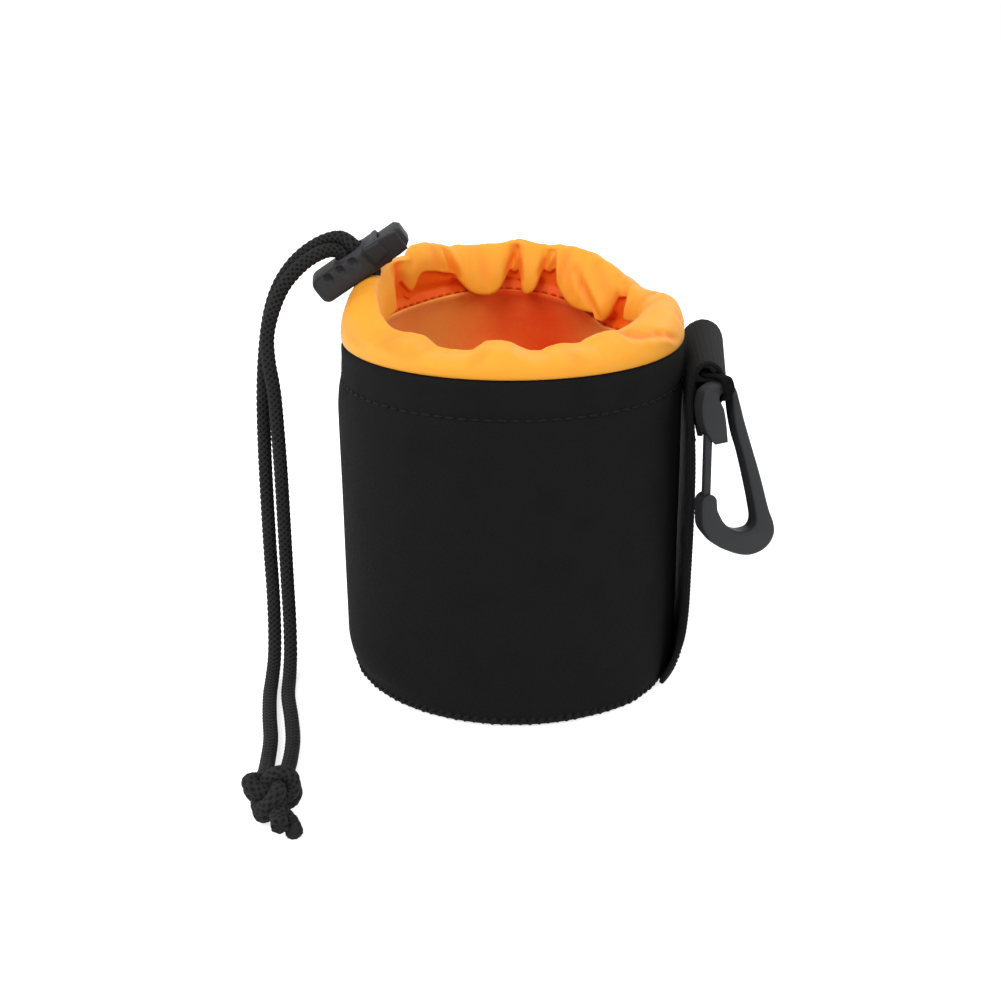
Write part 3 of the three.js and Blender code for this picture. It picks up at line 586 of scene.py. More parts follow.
def braid_height(run: np.ndarray, sides: int, strands: int = 6, lay: float = 10.8) -> np.ndarray:
    """Height of a braided cover of two sets of strands that cross, with small gaps between them.

    Args:
        run: distance along the cord at each ring.
        sides: points around.
        strands: strands in each set.
        lay: length of cord in which a strand goes round once.

    Returns:
        Heights from 0 to 1 at each ring and side.
    """
    angle = np.linspace(0.0, 1.0, sides, endpoint=False)[None, :] * strands
    along = run[:, None] * strands / lay
    p, q = angle + along, angle - along
    first, second = (bell(2.0 * (s - np.floor(s)), 1.0, 0.5) for s in (p, q))
    over = (np.floor(p) + np.floor(q)) % 2 == 0
    dip = 0.72
    return np.where(over, np.maximum(first, dip * second), np.maximum(second, dip * first))


def ribbon_piece(name: str, rows: np.ndarray, thick: float, relief: np.ndarray) -> Object:
    """Make a sheet with rounded long edges from a grid of its middle surface.

    Args:
        name: the object's name.
        rows: points along and then across.
        thick: thickness.
        relief: extra height of both faces at each row along.

    Returns:
        The new object.
    """
    along = np.gradient(rows, axis=0)
    across = np.gradient(rows, axis=1)
    normal = unit(np.cross(along, across))
    grow = (0.5 * thick + relief)[:, None, None]
    top = rows + normal * grow
    low = (rows - normal * grow)[:, ::-1]
    out = unit(across)
    bend = [(math.cos(a), math.sin(a)) for a in (0.52, 1.05, 1.57, 2.09, 2.62)]
    right = [rows[:, -1] + grow[:, 0] * (normal[:, -1] * c + out[:, -1] * s) for c, s in bend]
    left = [rows[:, 0] - grow[:, 0] * (normal[:, 0] * c + out[:, 0] * s) for c, s in bend]
    loop = np.concatenate([top, np.stack(right, axis=1), low, np.stack(left, axis=1)], axis=1)
    run = run_along(rows[:, rows.shape[1] // 2])
    return woven_grid(name, loop, (False, True), (run, run_round(loop[0])), ends=True)


class StitchTree:
    """Geometry Nodes tree that lays stitches along a line of points."""

    INPUTS = (("Pitch", 0.003), ("Length", 0.002), ("Width", 0.0006))

    def __init__(self) -> None:
        """Build the tree with its named inputs."""
        self.tree = bpy.data.node_groups.new("StitchRow", "GeometryNodeTree")
        face = self.tree.interface
        face.new_socket("Geometry", in_out="INPUT", socket_type="NodeSocketGeometry")
        self.keys: Dict[str, str] = {}
        for label, value in self.INPUTS:
            socket = face.new_socket(label, in_out="INPUT", socket_type="NodeSocketFloat")
            socket.default_value = value
            self.keys[label] = socket.identifier
        lean = face.new_socket("Lean", in_out="INPUT", socket_type="NodeSocketVector")
        self.keys["Lean"] = lean.identifier
        stuff = face.new_socket("Material", in_out="INPUT", socket_type="NodeSocketMaterial")
        self.keys["Material"] = stuff.identifier
        face.new_socket("Geometry", in_out="OUTPUT", socket_type="NodeSocketGeometry")
        self.wire()

    def wire(self) -> None:
        """Join up the nodes: line, points, stitch, realized mesh, material."""
        nodes, links = self.tree.nodes, self.tree.links
        source = nodes.new("NodeGroupInput")
        target = nodes.new("NodeGroupOutput")
        curve = nodes.new("GeometryNodeMeshToCurve")
        spaced = nodes.new("GeometryNodeResampleCurve")
        spaced.mode = "LENGTH"
        stitch = nodes.new("GeometryNodeMeshUVSphere")
        stitch.inputs["Segments"].default_value = 8
        stitch.inputs["Rings"].default_value = 6
        stitch.inputs["Radius"].default_value = 0.5
        size = nodes.new("ShaderNodeCombineXYZ")
        shaped = nodes.new("GeometryNodeTransform")
        tangent = nodes.new("GeometryNodeInputTangent")
        leant = nodes.new("ShaderNodeVectorMath")
        leant.operation = "ADD"
        aim = nodes.new("FunctionNodeAlignRotationToVector")
        aim.axis = "Z"
        placed = nodes.new("GeometryNodeInstanceOnPoints")
        real = nodes.new("GeometryNodeRealizeInstances")
        smooth = nodes.new("GeometryNodeSetShadeSmooth")
        paint = nodes.new("GeometryNodeSetMaterial")
        links.new(source.outputs["Geometry"], curve.inputs["Mesh"])
        links.new(curve.outputs["Curve"], spaced.inputs["Curve"])
        links.new(source.outputs["Pitch"], spaced.inputs["Length"])
        links.new(source.outputs["Width"], size.inputs["X"])
        links.new(source.outputs["Width"], size.inputs["Y"])
        links.new(source.outputs["Length"], size.inputs["Z"])
        links.new(stitch.outputs["Mesh"], shaped.inputs["Geometry"])
        links.new(size.outputs["Vector"], shaped.inputs["Scale"])
        links.new(tangent.outputs["Tangent"], leant.inputs[0])
        links.new(source.outputs["Lean"], leant.inputs[1])
        links.new(leant.outputs["Vector"], aim.inputs["Vector"])
        links.new(spaced.outputs["Curve"], placed.inputs["Points"])
        links.new(shaped.outputs["Geometry"], placed.inputs["Instance"])
        links.new(aim.outputs["Rotation"], placed.inputs["Rotation"])
        links.new(placed.outputs["Instances"], smooth.inputs["Geometry"])
        links.new(smooth.outputs["Geometry"], real.inputs["Geometry"])
        links.new(real.outputs["Geometry"], paint.inputs["Geometry"])
        links.new(source.outputs["Material"], paint.inputs["Material"])
        links.new(paint.outputs["Geometry"], target.inputs["Geometry"])

    def sew(self, name: str, lines: Sequence[np.ndarray], finish: Finish, pitch: float, length: float,
            width: float, lean: Triple = (0.0, 0.0, 0.0), closed: bool = False) -> Object:
        """Sew stitches along lines.

        Args:
            name: the object's name.
            lines: points of each seam line, in millimetres.
            finish: the thread's finish.
            pitch: distance from stitch to stitch.
            length: length of a stitch.
            width: width of a stitch.
            lean: added to the line's direction to slant the stitches.
            closed: whether each line joins its own start.

        Returns:
            A plain mesh object with all stitches.
        """
        verts: List[np.ndarray] = []
        edges: List[Tuple[int, int]] = []
        for line in lines:
            first = len(verts)
            verts += list(line)
            edges += [(first + k, first + k + 1) for k in range(len(line) - 1)]
            if closed:
                edges.append((first + len(line) - 1, first))
        seam = bpy.data.meshes.new(name + "_line")
        seam.from_pydata((np.array(verts) * MM).tolist(), edges, [])
        holder = linked(name + "_line", seam)
        modifier = holder.modifiers.new("Stitches", "NODES")
        modifier.node_group = self.tree
        for label, value in (("Pitch", pitch), ("Length", length), ("Width", width)):
            modifier[self.keys[label]] = value * MM
        modifier[self.keys["Lean"]] = lean
        modifier[self.keys["Material"]] = SHOP.material(finish)
        piece = plain_copy(holder, name)
        holder.modifiers.remove(modifier)
        bpy.data.objects.remove(holder)
        return piece


def plain_copy(source: Object, name: str) -> Object:
    """Make a plain mesh object from an object with its modifiers applied.

    Args:
        source: the object to evaluate.
        name: the new object's name.

    Returns:
        The new object, linked to the scene.
    """
    graph = bpy.context.evaluated_depsgraph_get()
    graph.update()
    mesh = bpy.data.meshes.new_from_object(source.evaluated_get(graph))
    mesh.name = name
    return linked(name, mesh)


def cut_or_join(piece: Object, other: Object, kind: str) -> Object:
    """Cut one piece with another, or join them to one shape.

    Args:
        piece: the piece that is kept.
        other: the piece that is used up.
        kind: DIFFERENCE or UNION.

    Returns:
        The resulting object, under the first piece's name.
    """
    name = piece.name
    tool = piece.modifiers.new("Shape", "BOOLEAN")
    tool.operation = kind
    tool.object = other
    tool.solver = "EXACT"
    done = plain_copy(piece, name + "_done")
    bpy.data.objects.remove(piece)
    bpy.data.objects.remove(other)
    done.name = name
    return done


def soft_edges(piece: Object, width: float, segments: int = 3, angle: float = 28.0) -> Object:
    """Round a piece's sharp edges.

    Args:
        piece: the piece.
        width: width of the rounding, in millimetres.
        segments: faces across a rounding.
        angle: least angle of an edge that is rounded, in degrees.

    Returns:
        The rounded object, under the same name.
    """
    name = piece.name
    tool = piece.modifiers.new("Edges", "BEVEL")
    tool.width = width * MM
    tool.segments = segments
    tool.limit_method = "ANGLE"
    tool.angle_limit = math.radians(angle)
    tool.harden_normals = False
    done = plain_copy(piece, name + "_done")
    bpy.data.objects.remove(piece)
    done.name = name
    done.data.shade_smooth()
    done.data.set_sharp_from_angle(angle=math.radians(32.0))
    return done


def moved(piece: Object, axes: Sequence[np.ndarray], origin: np.ndarray) -> Object:
    """Move a piece's mesh from its own axes to its place.

    Args:
        piece: the piece, made about its own origin in metres.
        axes: its three directions in the model's frame.
        origin: its place, in millimetres.

    Returns:
        The piece.
    """
    piece.data.transform(placing(axes, origin * MM))
    return piece


def wheel(angle: np.ndarray, stops: Sequence[Pair]) -> np.ndarray:
    """Read a value round a circle from stops, eased between them.

    Args:
        angle: degrees.
        stops: pairs of angle and value, from 0 to 360.

    Returns:
        The value at each angle.
    """
    at = np.mod(angle, 360.0)
    marks = np.array(stops, float)
    k = np.clip(np.searchsorted(marks[:, 0], at, side="right") - 1, 0, len(marks) - 2)
    share = (at - marks[k, 0]) / (marks[k + 1, 0] - marks[k, 0])
    share = share * share * (3.0 - 2.0 * share)
    return marks[k, 1] + (marks[k + 1, 1] - marks[k, 1]) * share


def eased(angle: np.ndarray, stops: Sequence[Pair]) -> np.ndarray:
    """Read a value round a circle on a smooth curve through stops, with no overshoot.

    Args:
        angle: degrees.
        stops: pairs of angle and value, from 0 to 360.

    Returns:
        The value at each angle.
    """
    x, y = np.array(stops, float).T
    step = np.diff(x)
    slope = np.diff(y) / step
    left, right = np.append(slope[-1:], slope), np.append(slope, slope[:1])
    same = left * right > 0.0
    lean = np.where(same, 2.0 * left * right / np.where(same, left + right, 1.0), 0.0)
    at = np.mod(angle, 360.0)
    k = np.clip(np.searchsorted(x, at, side="right") - 1, 0, len(x) - 2)
    h = step[k]
    q = (at - x[k]) / h
    return (y[k] * (1.0 + 2.0 * q) * (1.0 - q) ** 2 + h * lean[k] * q * (1.0 - q) ** 2
            + y[k + 1] * q * q * (3.0 - 2.0 * q) + h * lean[k + 1] * q * q * (q - 1.0))


def away(angle: np.ndarray, centre: float) -> np.ndarray:
    """Degrees from a centre, between -180 and 180."""
    return np.mod(angle - centre + 180.0, 360.0) - 180.0


SEAM_STOPS = ((0, 100.6), (18, 98.9), (34, 98.4), (44, 98.8), (52, 101.4), (65, 105.0), (78, 106.9),
              (98, 108.0), (113, 107.5), (129, 106.5), (141, 105.8), (151, 105.5), (180, 104.6),
              (220, 103.8), (270, 103.6), (320, 103.0), (345, 101.8), (360, 100.6))
CREST_STOPS = ((0, 114.6), (14, 112.8), (27, 112.0), (40, 114.8), (54, 118.8), (72, 121.4), (88, 122.4),
               (104, 121.6), (122, 122.6), (140, 123.2), (152, 121.8), (165, 119.2), (180, 117.6),
               (205, 115.2), (230, 112.8), (255, 111.0), (275, 110.6), (295, 110.6), (318, 111.2),
               (338, 112.8), (360, 114.6))
CHANNEL_RADIUS = 42.8
CHANNEL_DEPTH = 4.7


def seam_height(angle: np.ndarray) -> np.ndarray:
    """Height of the seam that joins the lining to the collar.

    Args:
        angle: degrees round the pouch.

    Returns:
        The height at each angle, highest at the back and lowest behind the right.
    """
    return eased(angle, SEAM_STOPS)


def channel_point(angle: float) -> np.ndarray:
    """Centre of the drawstring's channel in the collar.

    Args:
        angle: degrees round the pouch.

    Returns:
        The point, in millimetres.
    """
    near = np.array([angle + a for a in (-18.0, -9.0, 0.0, 9.0, 18.0)])
    z = float(wheel(near, CREST_STOPS).mean()) - CHANNEL_DEPTH
    t = math.radians(angle)
    return np.array([CHANNEL_RADIUS * math.cos(t), CHANNEL_RADIUS * math.sin(t), z])


@dataclass
class LockFrame:
    """Place of the cord lock: along the button's travel, along the cords and across."""

    centre: Triple = (-45.0, 6.0, 122.6)
    travel: Triple = (0.83195, 0.0, 0.55484)
    cords: Triple = (-0.54272, -0.20791, 0.81377)

    def axes(self) -> List[np.ndarray]:
        """Its three directions."""
        u, v = np.array(self.travel), np.array(self.cords)
        return [u, v, np.cross(u, v)]

    def point(self, a: float, b: float) -> np.ndarray:
        """A point at a along the travel and b along the cords."""
        u, v, _ = self.axes()
        return np.array(self.centre) + u * a + v * b


@dataclass
class Drawstring:
    """The braided cord: hoop in the collar, two tails through the lock, knot and cut ends."""

    diameter: float = 4.0
    swell: float = 0.14
    sides: int = 36
    knot_centre: Triple = (-61.6, -95.0, 6.7)

    def braided(self, name: str, line: np.ndarray, domed: bool = True, sides: Optional[int] = None,
                flare: float = 0.0) -> Object:
        """Make a braided length of cord.

        Args:
            name: the object's name.
            line: evenly spaced centre points.
            domed: whether its ends are round.
            sides: points around.
            flare: growth of the radius toward the end.

        Returns:
            The new object.
        """
        radius = np.full(len(line), 0.5 * self.diameter + self.swell)
        radius += flare * np.linspace(0.0, 1.0, len(line)) ** 3
        return tube_piece(name, line, radius, braid_height(run_along(line), sides or self.sides), domed)

    def inner_stops(self) -> List[np.ndarray]:
        """Stops of the tail that comes out nearest the mouth."""
        lock = LockFrame()
        stops = [channel_point(185.0), channel_point(179.0), (-42.9, 3.6, 113.3), (-43.0, 5.9, 114.5)]
        stops += [lock.point(-2.2, b) for b in (-6.6, -5.0, -2.5, 0.0, 2.5)]
        stops += [lock.point(-2.0, 5.4),
                  (-53, 3.4, 126.7), (-57.5, 0.6, 125.3), (-62, -1.8, 122), (-66, -4.2, 117.2),
                  (-69, -6, 110.5), (-70.6, -7.2, 104), (-70.6, -7.8, 97), (-69.6, -8, 88),
                  (-69.2, -8.2, 76), (-69, -8.4, 62), (-69, -8.8, 45), (-69, -9.4, 28), (-68.8, -11, 15),
                  (-68.4, -15.6, 6.2), (-67.8, -23, 2.6), (-66.6, -34, 2.15), (-63.6, -48, 2.15),
                  (-61.4, -60, 2.15), (-60.4, -72, 2.6), (-60, -82, 4.6), (-60.2, -87.2, 6.2),
                  (-60.7, -89.8, 6.7)]
        return [np.array(p, float) for p in stops]

    def outer_stops(self) -> List[np.ndarray]:
        """Stops of the tail that comes out nearest the wall, from where it leaves the collar."""
        lock = LockFrame()
        stops = [lock.point(1.3, -6.3)] + [lock.point(2.2, b) for b in (-4.8, -2.5, 0.0, 2.5)]
        stops += [lock.point(2.0, 5.4),
                  (-49.6, 6.0, 129.9), (-54.2, 6.9, 129.0), (-59, 5.8, 126.6), (-63.2, 4, 123.2),
                  (-66.8, 2.2, 118.6), (-69.3, 0, 113.2), (-71, -1.2, 107), (-72.4, -2.6, 98),
                  (-73.4, -3.8, 87), (-74, -4.6, 72), (-74.2, -5.4, 55), (-74.2, -6.2, 38),
                  (-74, -7.2, 23), (-73.8, -10, 12), (-73.4, -15.4, 5.4), (-73, -23, 2.5),
                  (-72, -34, 2.15), (-70, -47, 2.15), (-67.6, -60, 2.15), (-66.4, -72, 2.7),
                  (-65.2, -82, 5.2), (-64.6, -87, 7.0), (-63.8, -89.6, 7.4)]
        return [np.array(p, float) for p in stops]

    def knot_line(self, offset: float) -> np.ndarray:
        """One of the two strands that run side by side through the overhand knot.

        Args:
            offset: shift of the strand across the knot's plane.

        Returns:
            Centre points of the strand.
        """
        t = np.linspace(0.0, TURN, 160)
        a = 1.95 * (np.sin(t) + 2.0 * np.sin(2.0 * t))
        b = 1.7 * (np.cos(t) - 2.0 * np.cos(2.0 * t))
        c = -2.1 * np.sin(3.0 * t) + offset
        right, rise = np.array([1.0, 0.0, 0.0]), np.array([0.12, 0.88, 0.46])
        face = np.cross(right, rise)
        line = a[:, None] * right + b[:, None] * unit(rise) + c[:, None] * unit(face)
        return even(line + np.array(self.knot_centre) + np.array([0.0, 0.0, 0.55]), 0.4)

    def end_line(self, side: int) -> np.ndarray:
        """Centre points of a cut end, left for -1 and right for 1."""
        x, y, z = self.knot_centre
        shift, rise, reach = 1.6 * side, 1.35 - 1.35 * side, 0.8 - 0.8 * side
        stops = [(x + 2.0, y - 3.0, z - 2.0), (x + 4.3 + shift, y - 6.8, 2.75 + rise),
                 (x + 5.0 + shift, y - 8.4 - 0.5 * reach, 2.45 + rise),
                 (x + 5.6 + shift, y - 10.2 - reach, 2.35 + rise)]
        return even(spline(stops), 0.4)

    def build(self) -> List[Object]:
        """Returns:
            The pieces.
        """
        turn = np.linspace(187.5, 507.5, 160)
        hoop = np.array([channel_point(a) for a in turn]) * np.array([1.03, 1.03, 1.0])
        hoop[:, 2] = np.minimum(hoop[:, 2] - 0.9, GatheredCollar().profile_at(turn)["crest"] - 4.0)
        hoop = even(hoop, 1.2)
        hoop_piece = self.braided("drawstring_hoop_braid", hoop, sides=12)
        dress(hoop_piece, BRAID, Body.POUCH, ["drawstring_hoop"])
        lines = [even(spline(s), 0.3) for s in (self.inner_stops(), self.outer_stops())]
        tails = [self.braided(f"drawstring_{side}_braid", line)
                 for side, line in zip(("inner", "outer"), lines)]
        knots = [self.braided(f"drawstring_knot_pass_{k + 1}", self.knot_line(shift), sides=30)
                 for k, shift in enumerate((-1.65, 1.65))]
        ends = [self.braided(f"drawstring_cut_{label}", self.end_line(side), False, 30, 0.2)
                for label, side in (("left", -1), ("right", 1))]
        dress(tails[0], BRAID, Body.POUCH, ["drawstring_tail_inner"])
        dress(tails[1], BRAID, Body.POUCH, ["drawstring_tail_outer"])
        for piece in knots:
            dress(piece, BRAID, Body.POUCH, ["drawstring_knot"])
        dress(ends[0], BRAID, Body.POUCH, ["drawstring_end_left"])
        dress(ends[1], BRAID, Body.POUCH, ["drawstring_end_right"])
        return [hoop_piece, *tails, *knots, *ends]


@dataclass
class PouchWall:
    """The neoprene tube, its base and the overlocked seam between them."""

    radius: float = 50.0
    top: float = 102.0
    thick: float = 4.0
    foot: float = 1.4
    stitch_height: float = 91.5
    stitch_pitch: float = 3.6
    steps: int = 300

    def outline(self) -> Tuple[np.ndarray, np.ndarray]:
        """Closed outline of the wall.

        Returns:
            Radius and height of each point, and a weight that is one on the outer face.
        """
        r, top, foot = self.radius, self.top, self.foot
        outer = [(r, z) for z in np.arange(top - 2.4, foot + 4.6, -1.15)]
        over = [(r - 3.9, top - 1.6), (r - 3.5, top - 0.45), (r - 2.5, top), (r - 1.3, top),
                (r - 0.45, top - 0.35), (r - 0.05, top - 1.1)]
        under = [(r - 0.12, foot + 3.0), (r - 0.4, foot + 1.6), (r - 0.9, foot + 0.6), (r - 1.6, foot + 0.05),
                 (r - 2.3, foot + 0.3), (r - 2.5, foot + 1.9), (r - 3.4, foot + 2.7), (r - 3.95, foot + 3.4)]
        inner = [(r - self.thick, z) for z in np.linspace(foot + 6.0, top - 6.0, 12)]
        weight = [0.0] * len(over) + [1.0] * len(outer) + [0.0] * (len(under) + len(inner))
        return np.array(over + outer + under + inner), np.array(weight)

    def surface(self, t: np.ndarray, z: np.ndarray) -> np.ndarray:
        """Softness of the sheet: waves, a pulled-in stitch row, a crease low in front, a swell at the left.

        Args:
            t: angle in radians.
            z: height.

        Returns:
            Extra radius.
        """
        slow = 0.22 * np.sin(2 * t + 0.9 + z / 45.0) + 0.16 * np.sin(3 * t - z / 33.0 + 2.0)
        slow = slow + 0.07 * np.sin(7 * t + z / 15.0) * np.sin(z / 11.0)
        from_row = z - self.stitch_height
        count = round(TURN * self.radius / self.stitch_pitch)
        pull = -0.42 * bell(from_row, 0.0, 0.9) * (0.72 + 0.28 * np.cos(count * t))
        swell = 0.16 * bell(from_row, 3.4, 2.2) + 0.13 * bell(from_row, -3.2, 2.2)
        pucker = 0.09 * np.sin(23 * t + 1.5 * np.sin(5 * t)) * bell(from_row, 0.0, 5.0)
        x = self.radius * (np.mod(t, TURN) - math.radians(302.0))
        run = x * 0.86 + (z - 13.0) * 0.51
        off = -x * 0.51 + (z - 13.0) * 0.86
        reach = bell(run, 0.0, 11.0)
        crease = reach * (0.34 * bell(off, 3.8, 2.8) - 0.36 * bell(off, 0.0, 2.2))
        crease = crease + 0.24 * reach * bell(off, -4.0, 2.7)
        low = ramp(z - self.foot, 2.0, 5.0)
        high = ramp(z, self.top - 1.2, -2.5)
        return (slow * 0.8 + pull + swell + pucker + crease) * low * high + self.slump(t, z)

    @staticmethod
    def toe(t: np.ndarray) -> np.ndarray:
        """How far the foot stands out at the front and beside the strap, by angle in radians."""
        angle = np.degrees(t)
        return 0.45 * bell(away(angle, 282.0), 0.0, 28.0) + 0.9 * bell(away(angle, 313.0), 0.0, 12.0)

    @staticmethod
    def slump(t: np.ndarray, z: np.ndarray) -> np.ndarray:
        """Swell of the left side between the stitch row and the foot.

        Args:
            t: angle in radians.
            z: height.

        Returns:
            Extra radius.
        """
        below, above = ramp(z, 97.0, -15.0), ramp(z, 0.0, 12.0)
        window = below ** 2 * (3.0 - 2.0 * below) * above ** 2 * (3.0 - 2.0 * above)
        return 1.65 * window * np.exp(-(away(np.degrees(t), 188.0) / 52.0) ** 4)

    def build(self, stitches: StitchTree) -> List[Object]:
        """Make the wall, its stitch row, the base and the seam.

        Args:
            stitches: the tree that sews.

        Returns:
            The pieces.
        """
        profile, weight = self.outline()
        t = full_turn(self.steps)[:, None]
        lift = self.surface(t, profile[None, :, 1]) * weight[None]
        skin = ramp(profile[None, :, 0] - self.radius, -self.thick, 1.5)
        lift = lift + self.toe(t) * skin * bell(profile[None, :, 1], 0.0, 13.0)
        wall = turned_piece("neoprene_wall", profile, self.steps, lift)
        dress(wall, NEOPRENE, Body.POUCH, ["outer_wall"])
        turn = full_turn(360)
        sunk = self.radius + self.surface(turn, np.full(360, self.stitch_height)) + 0.12
        row = round_axis(sunk, turn, self.stitch_height)
        seam = stitches.sew("rim_stitch_row", [row], THREAD, self.stitch_pitch, 2.7, 0.75, closed=True)
        dress(seam, THREAD, Body.POUCH)
        disc = np.array([(0.02, 0.0), (44.5, 0.0), (46.4, 0.25), (47.2, 0.9), (47.4, 1.8), (47.2, 2.7),
                         (46.4, 3.2), (44.5, 3.3), (0.02, 3.3)])
        disc = spline(disc, per=5)
        t = full_turn(160)[:, None]
        base = turned_piece("neoprene_base", disc, 160, self.toe(t) * (disc[None, :, 0] / 47.4) ** 4)
        dress(base, NEOPRENE, Body.POUCH, ["base_panel"])
        ring = np.array([(48.5 + 0.8 * math.cos(a), 1.25 + 0.8 * math.sin(a)) for a in full_turn(14)])
        binding = turned_piece("base_seam_ring", ring, 200, self.toe(full_turn(200)[:, None]))
        dress(binding, THREAD, Body.POUCH, ["base_seam_binding"])
        wavy = 49.0 + 0.12 * np.sin(29 * turn) + self.toe(turn)
        bent = round_axis(wavy, turn, 1.95)
        lock = stitches.sew("base_overlock_thread", [bent], THREAD, 2.7, 3.3, 1.9, (0.0, 0.0, 1.5), True)
        dress(lock, THREAD, Body.POUCH, ["base_seam_binding"])
        return [wall, seam, base, binding, lock]


@dataclass
class PlushLining:
    """The plush inside the wall and on the base."""

    radius: float = 44.2
    thick: float = 1.5
    top: float = 104.0
    top_radius: float = 39.6
    steps: int = 240

    def build(self) -> List[Object]:
        """Make the two linings.

        Returns:
            The pieces.
        """
        r, out = self.radius, self.radius + self.thick
        low, high = (float(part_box("base_lining")[k].z) / MM for k in (0, 1))
        wide = float(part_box("base_lining")[1].x) / MM
        foot = high + 0.1
        inner = [(r, z) for z in np.linspace(foot, 88.0, 26)]
        lean = [(r - 0.2, 91.0), (r - 0.9, 94.6), (r - 2.0, 98.4), (r - 3.4, 101.6),
                (self.top_radius - 0.35, self.top - 0.9), (self.top_radius, self.top - 0.3)]
        back = [(self.top_radius + 0.7, self.top - 0.7), (r - 2.2, 100.4), (r - 0.4, 96.0), (out - 1.0, 92.2),
                (out, 89.0)]
        outer = [(out, z) for z in np.linspace(84.0, foot, 8)]
        profile = np.array(inner + lean + back + outer)
        fade = [0.8, 0.6, 0.4, 0.2, 0.0, 0.0]
        weight = np.array([1.0] * len(inner) + fade + [0.0] * (len(back) + len(outer)))
        angle = np.linspace(0.0, 360.0, self.steps, endpoint=False)[:, None]
        t, z = np.radians(angle), profile[None, :, 1]
        lift = 0.35 * np.sin(5 * t + z / 30.0) + 0.2 * np.sin(11 * t - z / 17.0 + 1.0)
        radius = profile[None, :, 0] + (lift - 0.45) * weight[None]
        raised = z + (seam_height(angle) - self.top) * ramp(z, 86.0, 16.0)
        rows = round_axis(radius, t, raised)
        # Painted shade: the back of the lining, around 80 degrees, is darkened in colour and the sides stay
        # pale, with a faint ripple round it.
        painted_back_shade = 0.06 + 0.82 * bell(away(angle, 80.0), 0.0, 28.0) + 0.08 * np.sin(9.0 * t + z / 9.0)
        flat = (np.linspace(0.0, TURN * out, self.steps + 1), run_round(profile))
        wall = woven_grid("plush_wall_lining", rows, (True, True), flat, np.clip(painted_back_shade, 0.0, 1.0))
        dress(wall, PLUSH, Body.POUCH, ["wall_lining"])
        disc = np.array([(0.02, low), (wide - 0.8, low), (wide, low + 0.4), (wide, high - 0.2),
                         (wide - 0.3, high), (wide * 0.6, high), (wide * 0.3, high), (0.02, high)])
        base = turned_piece("plush_base_lining", disc, 120)
        dress(base, PLUSH, Body.POUCH, ["base_lining"])
        return [wall, base]


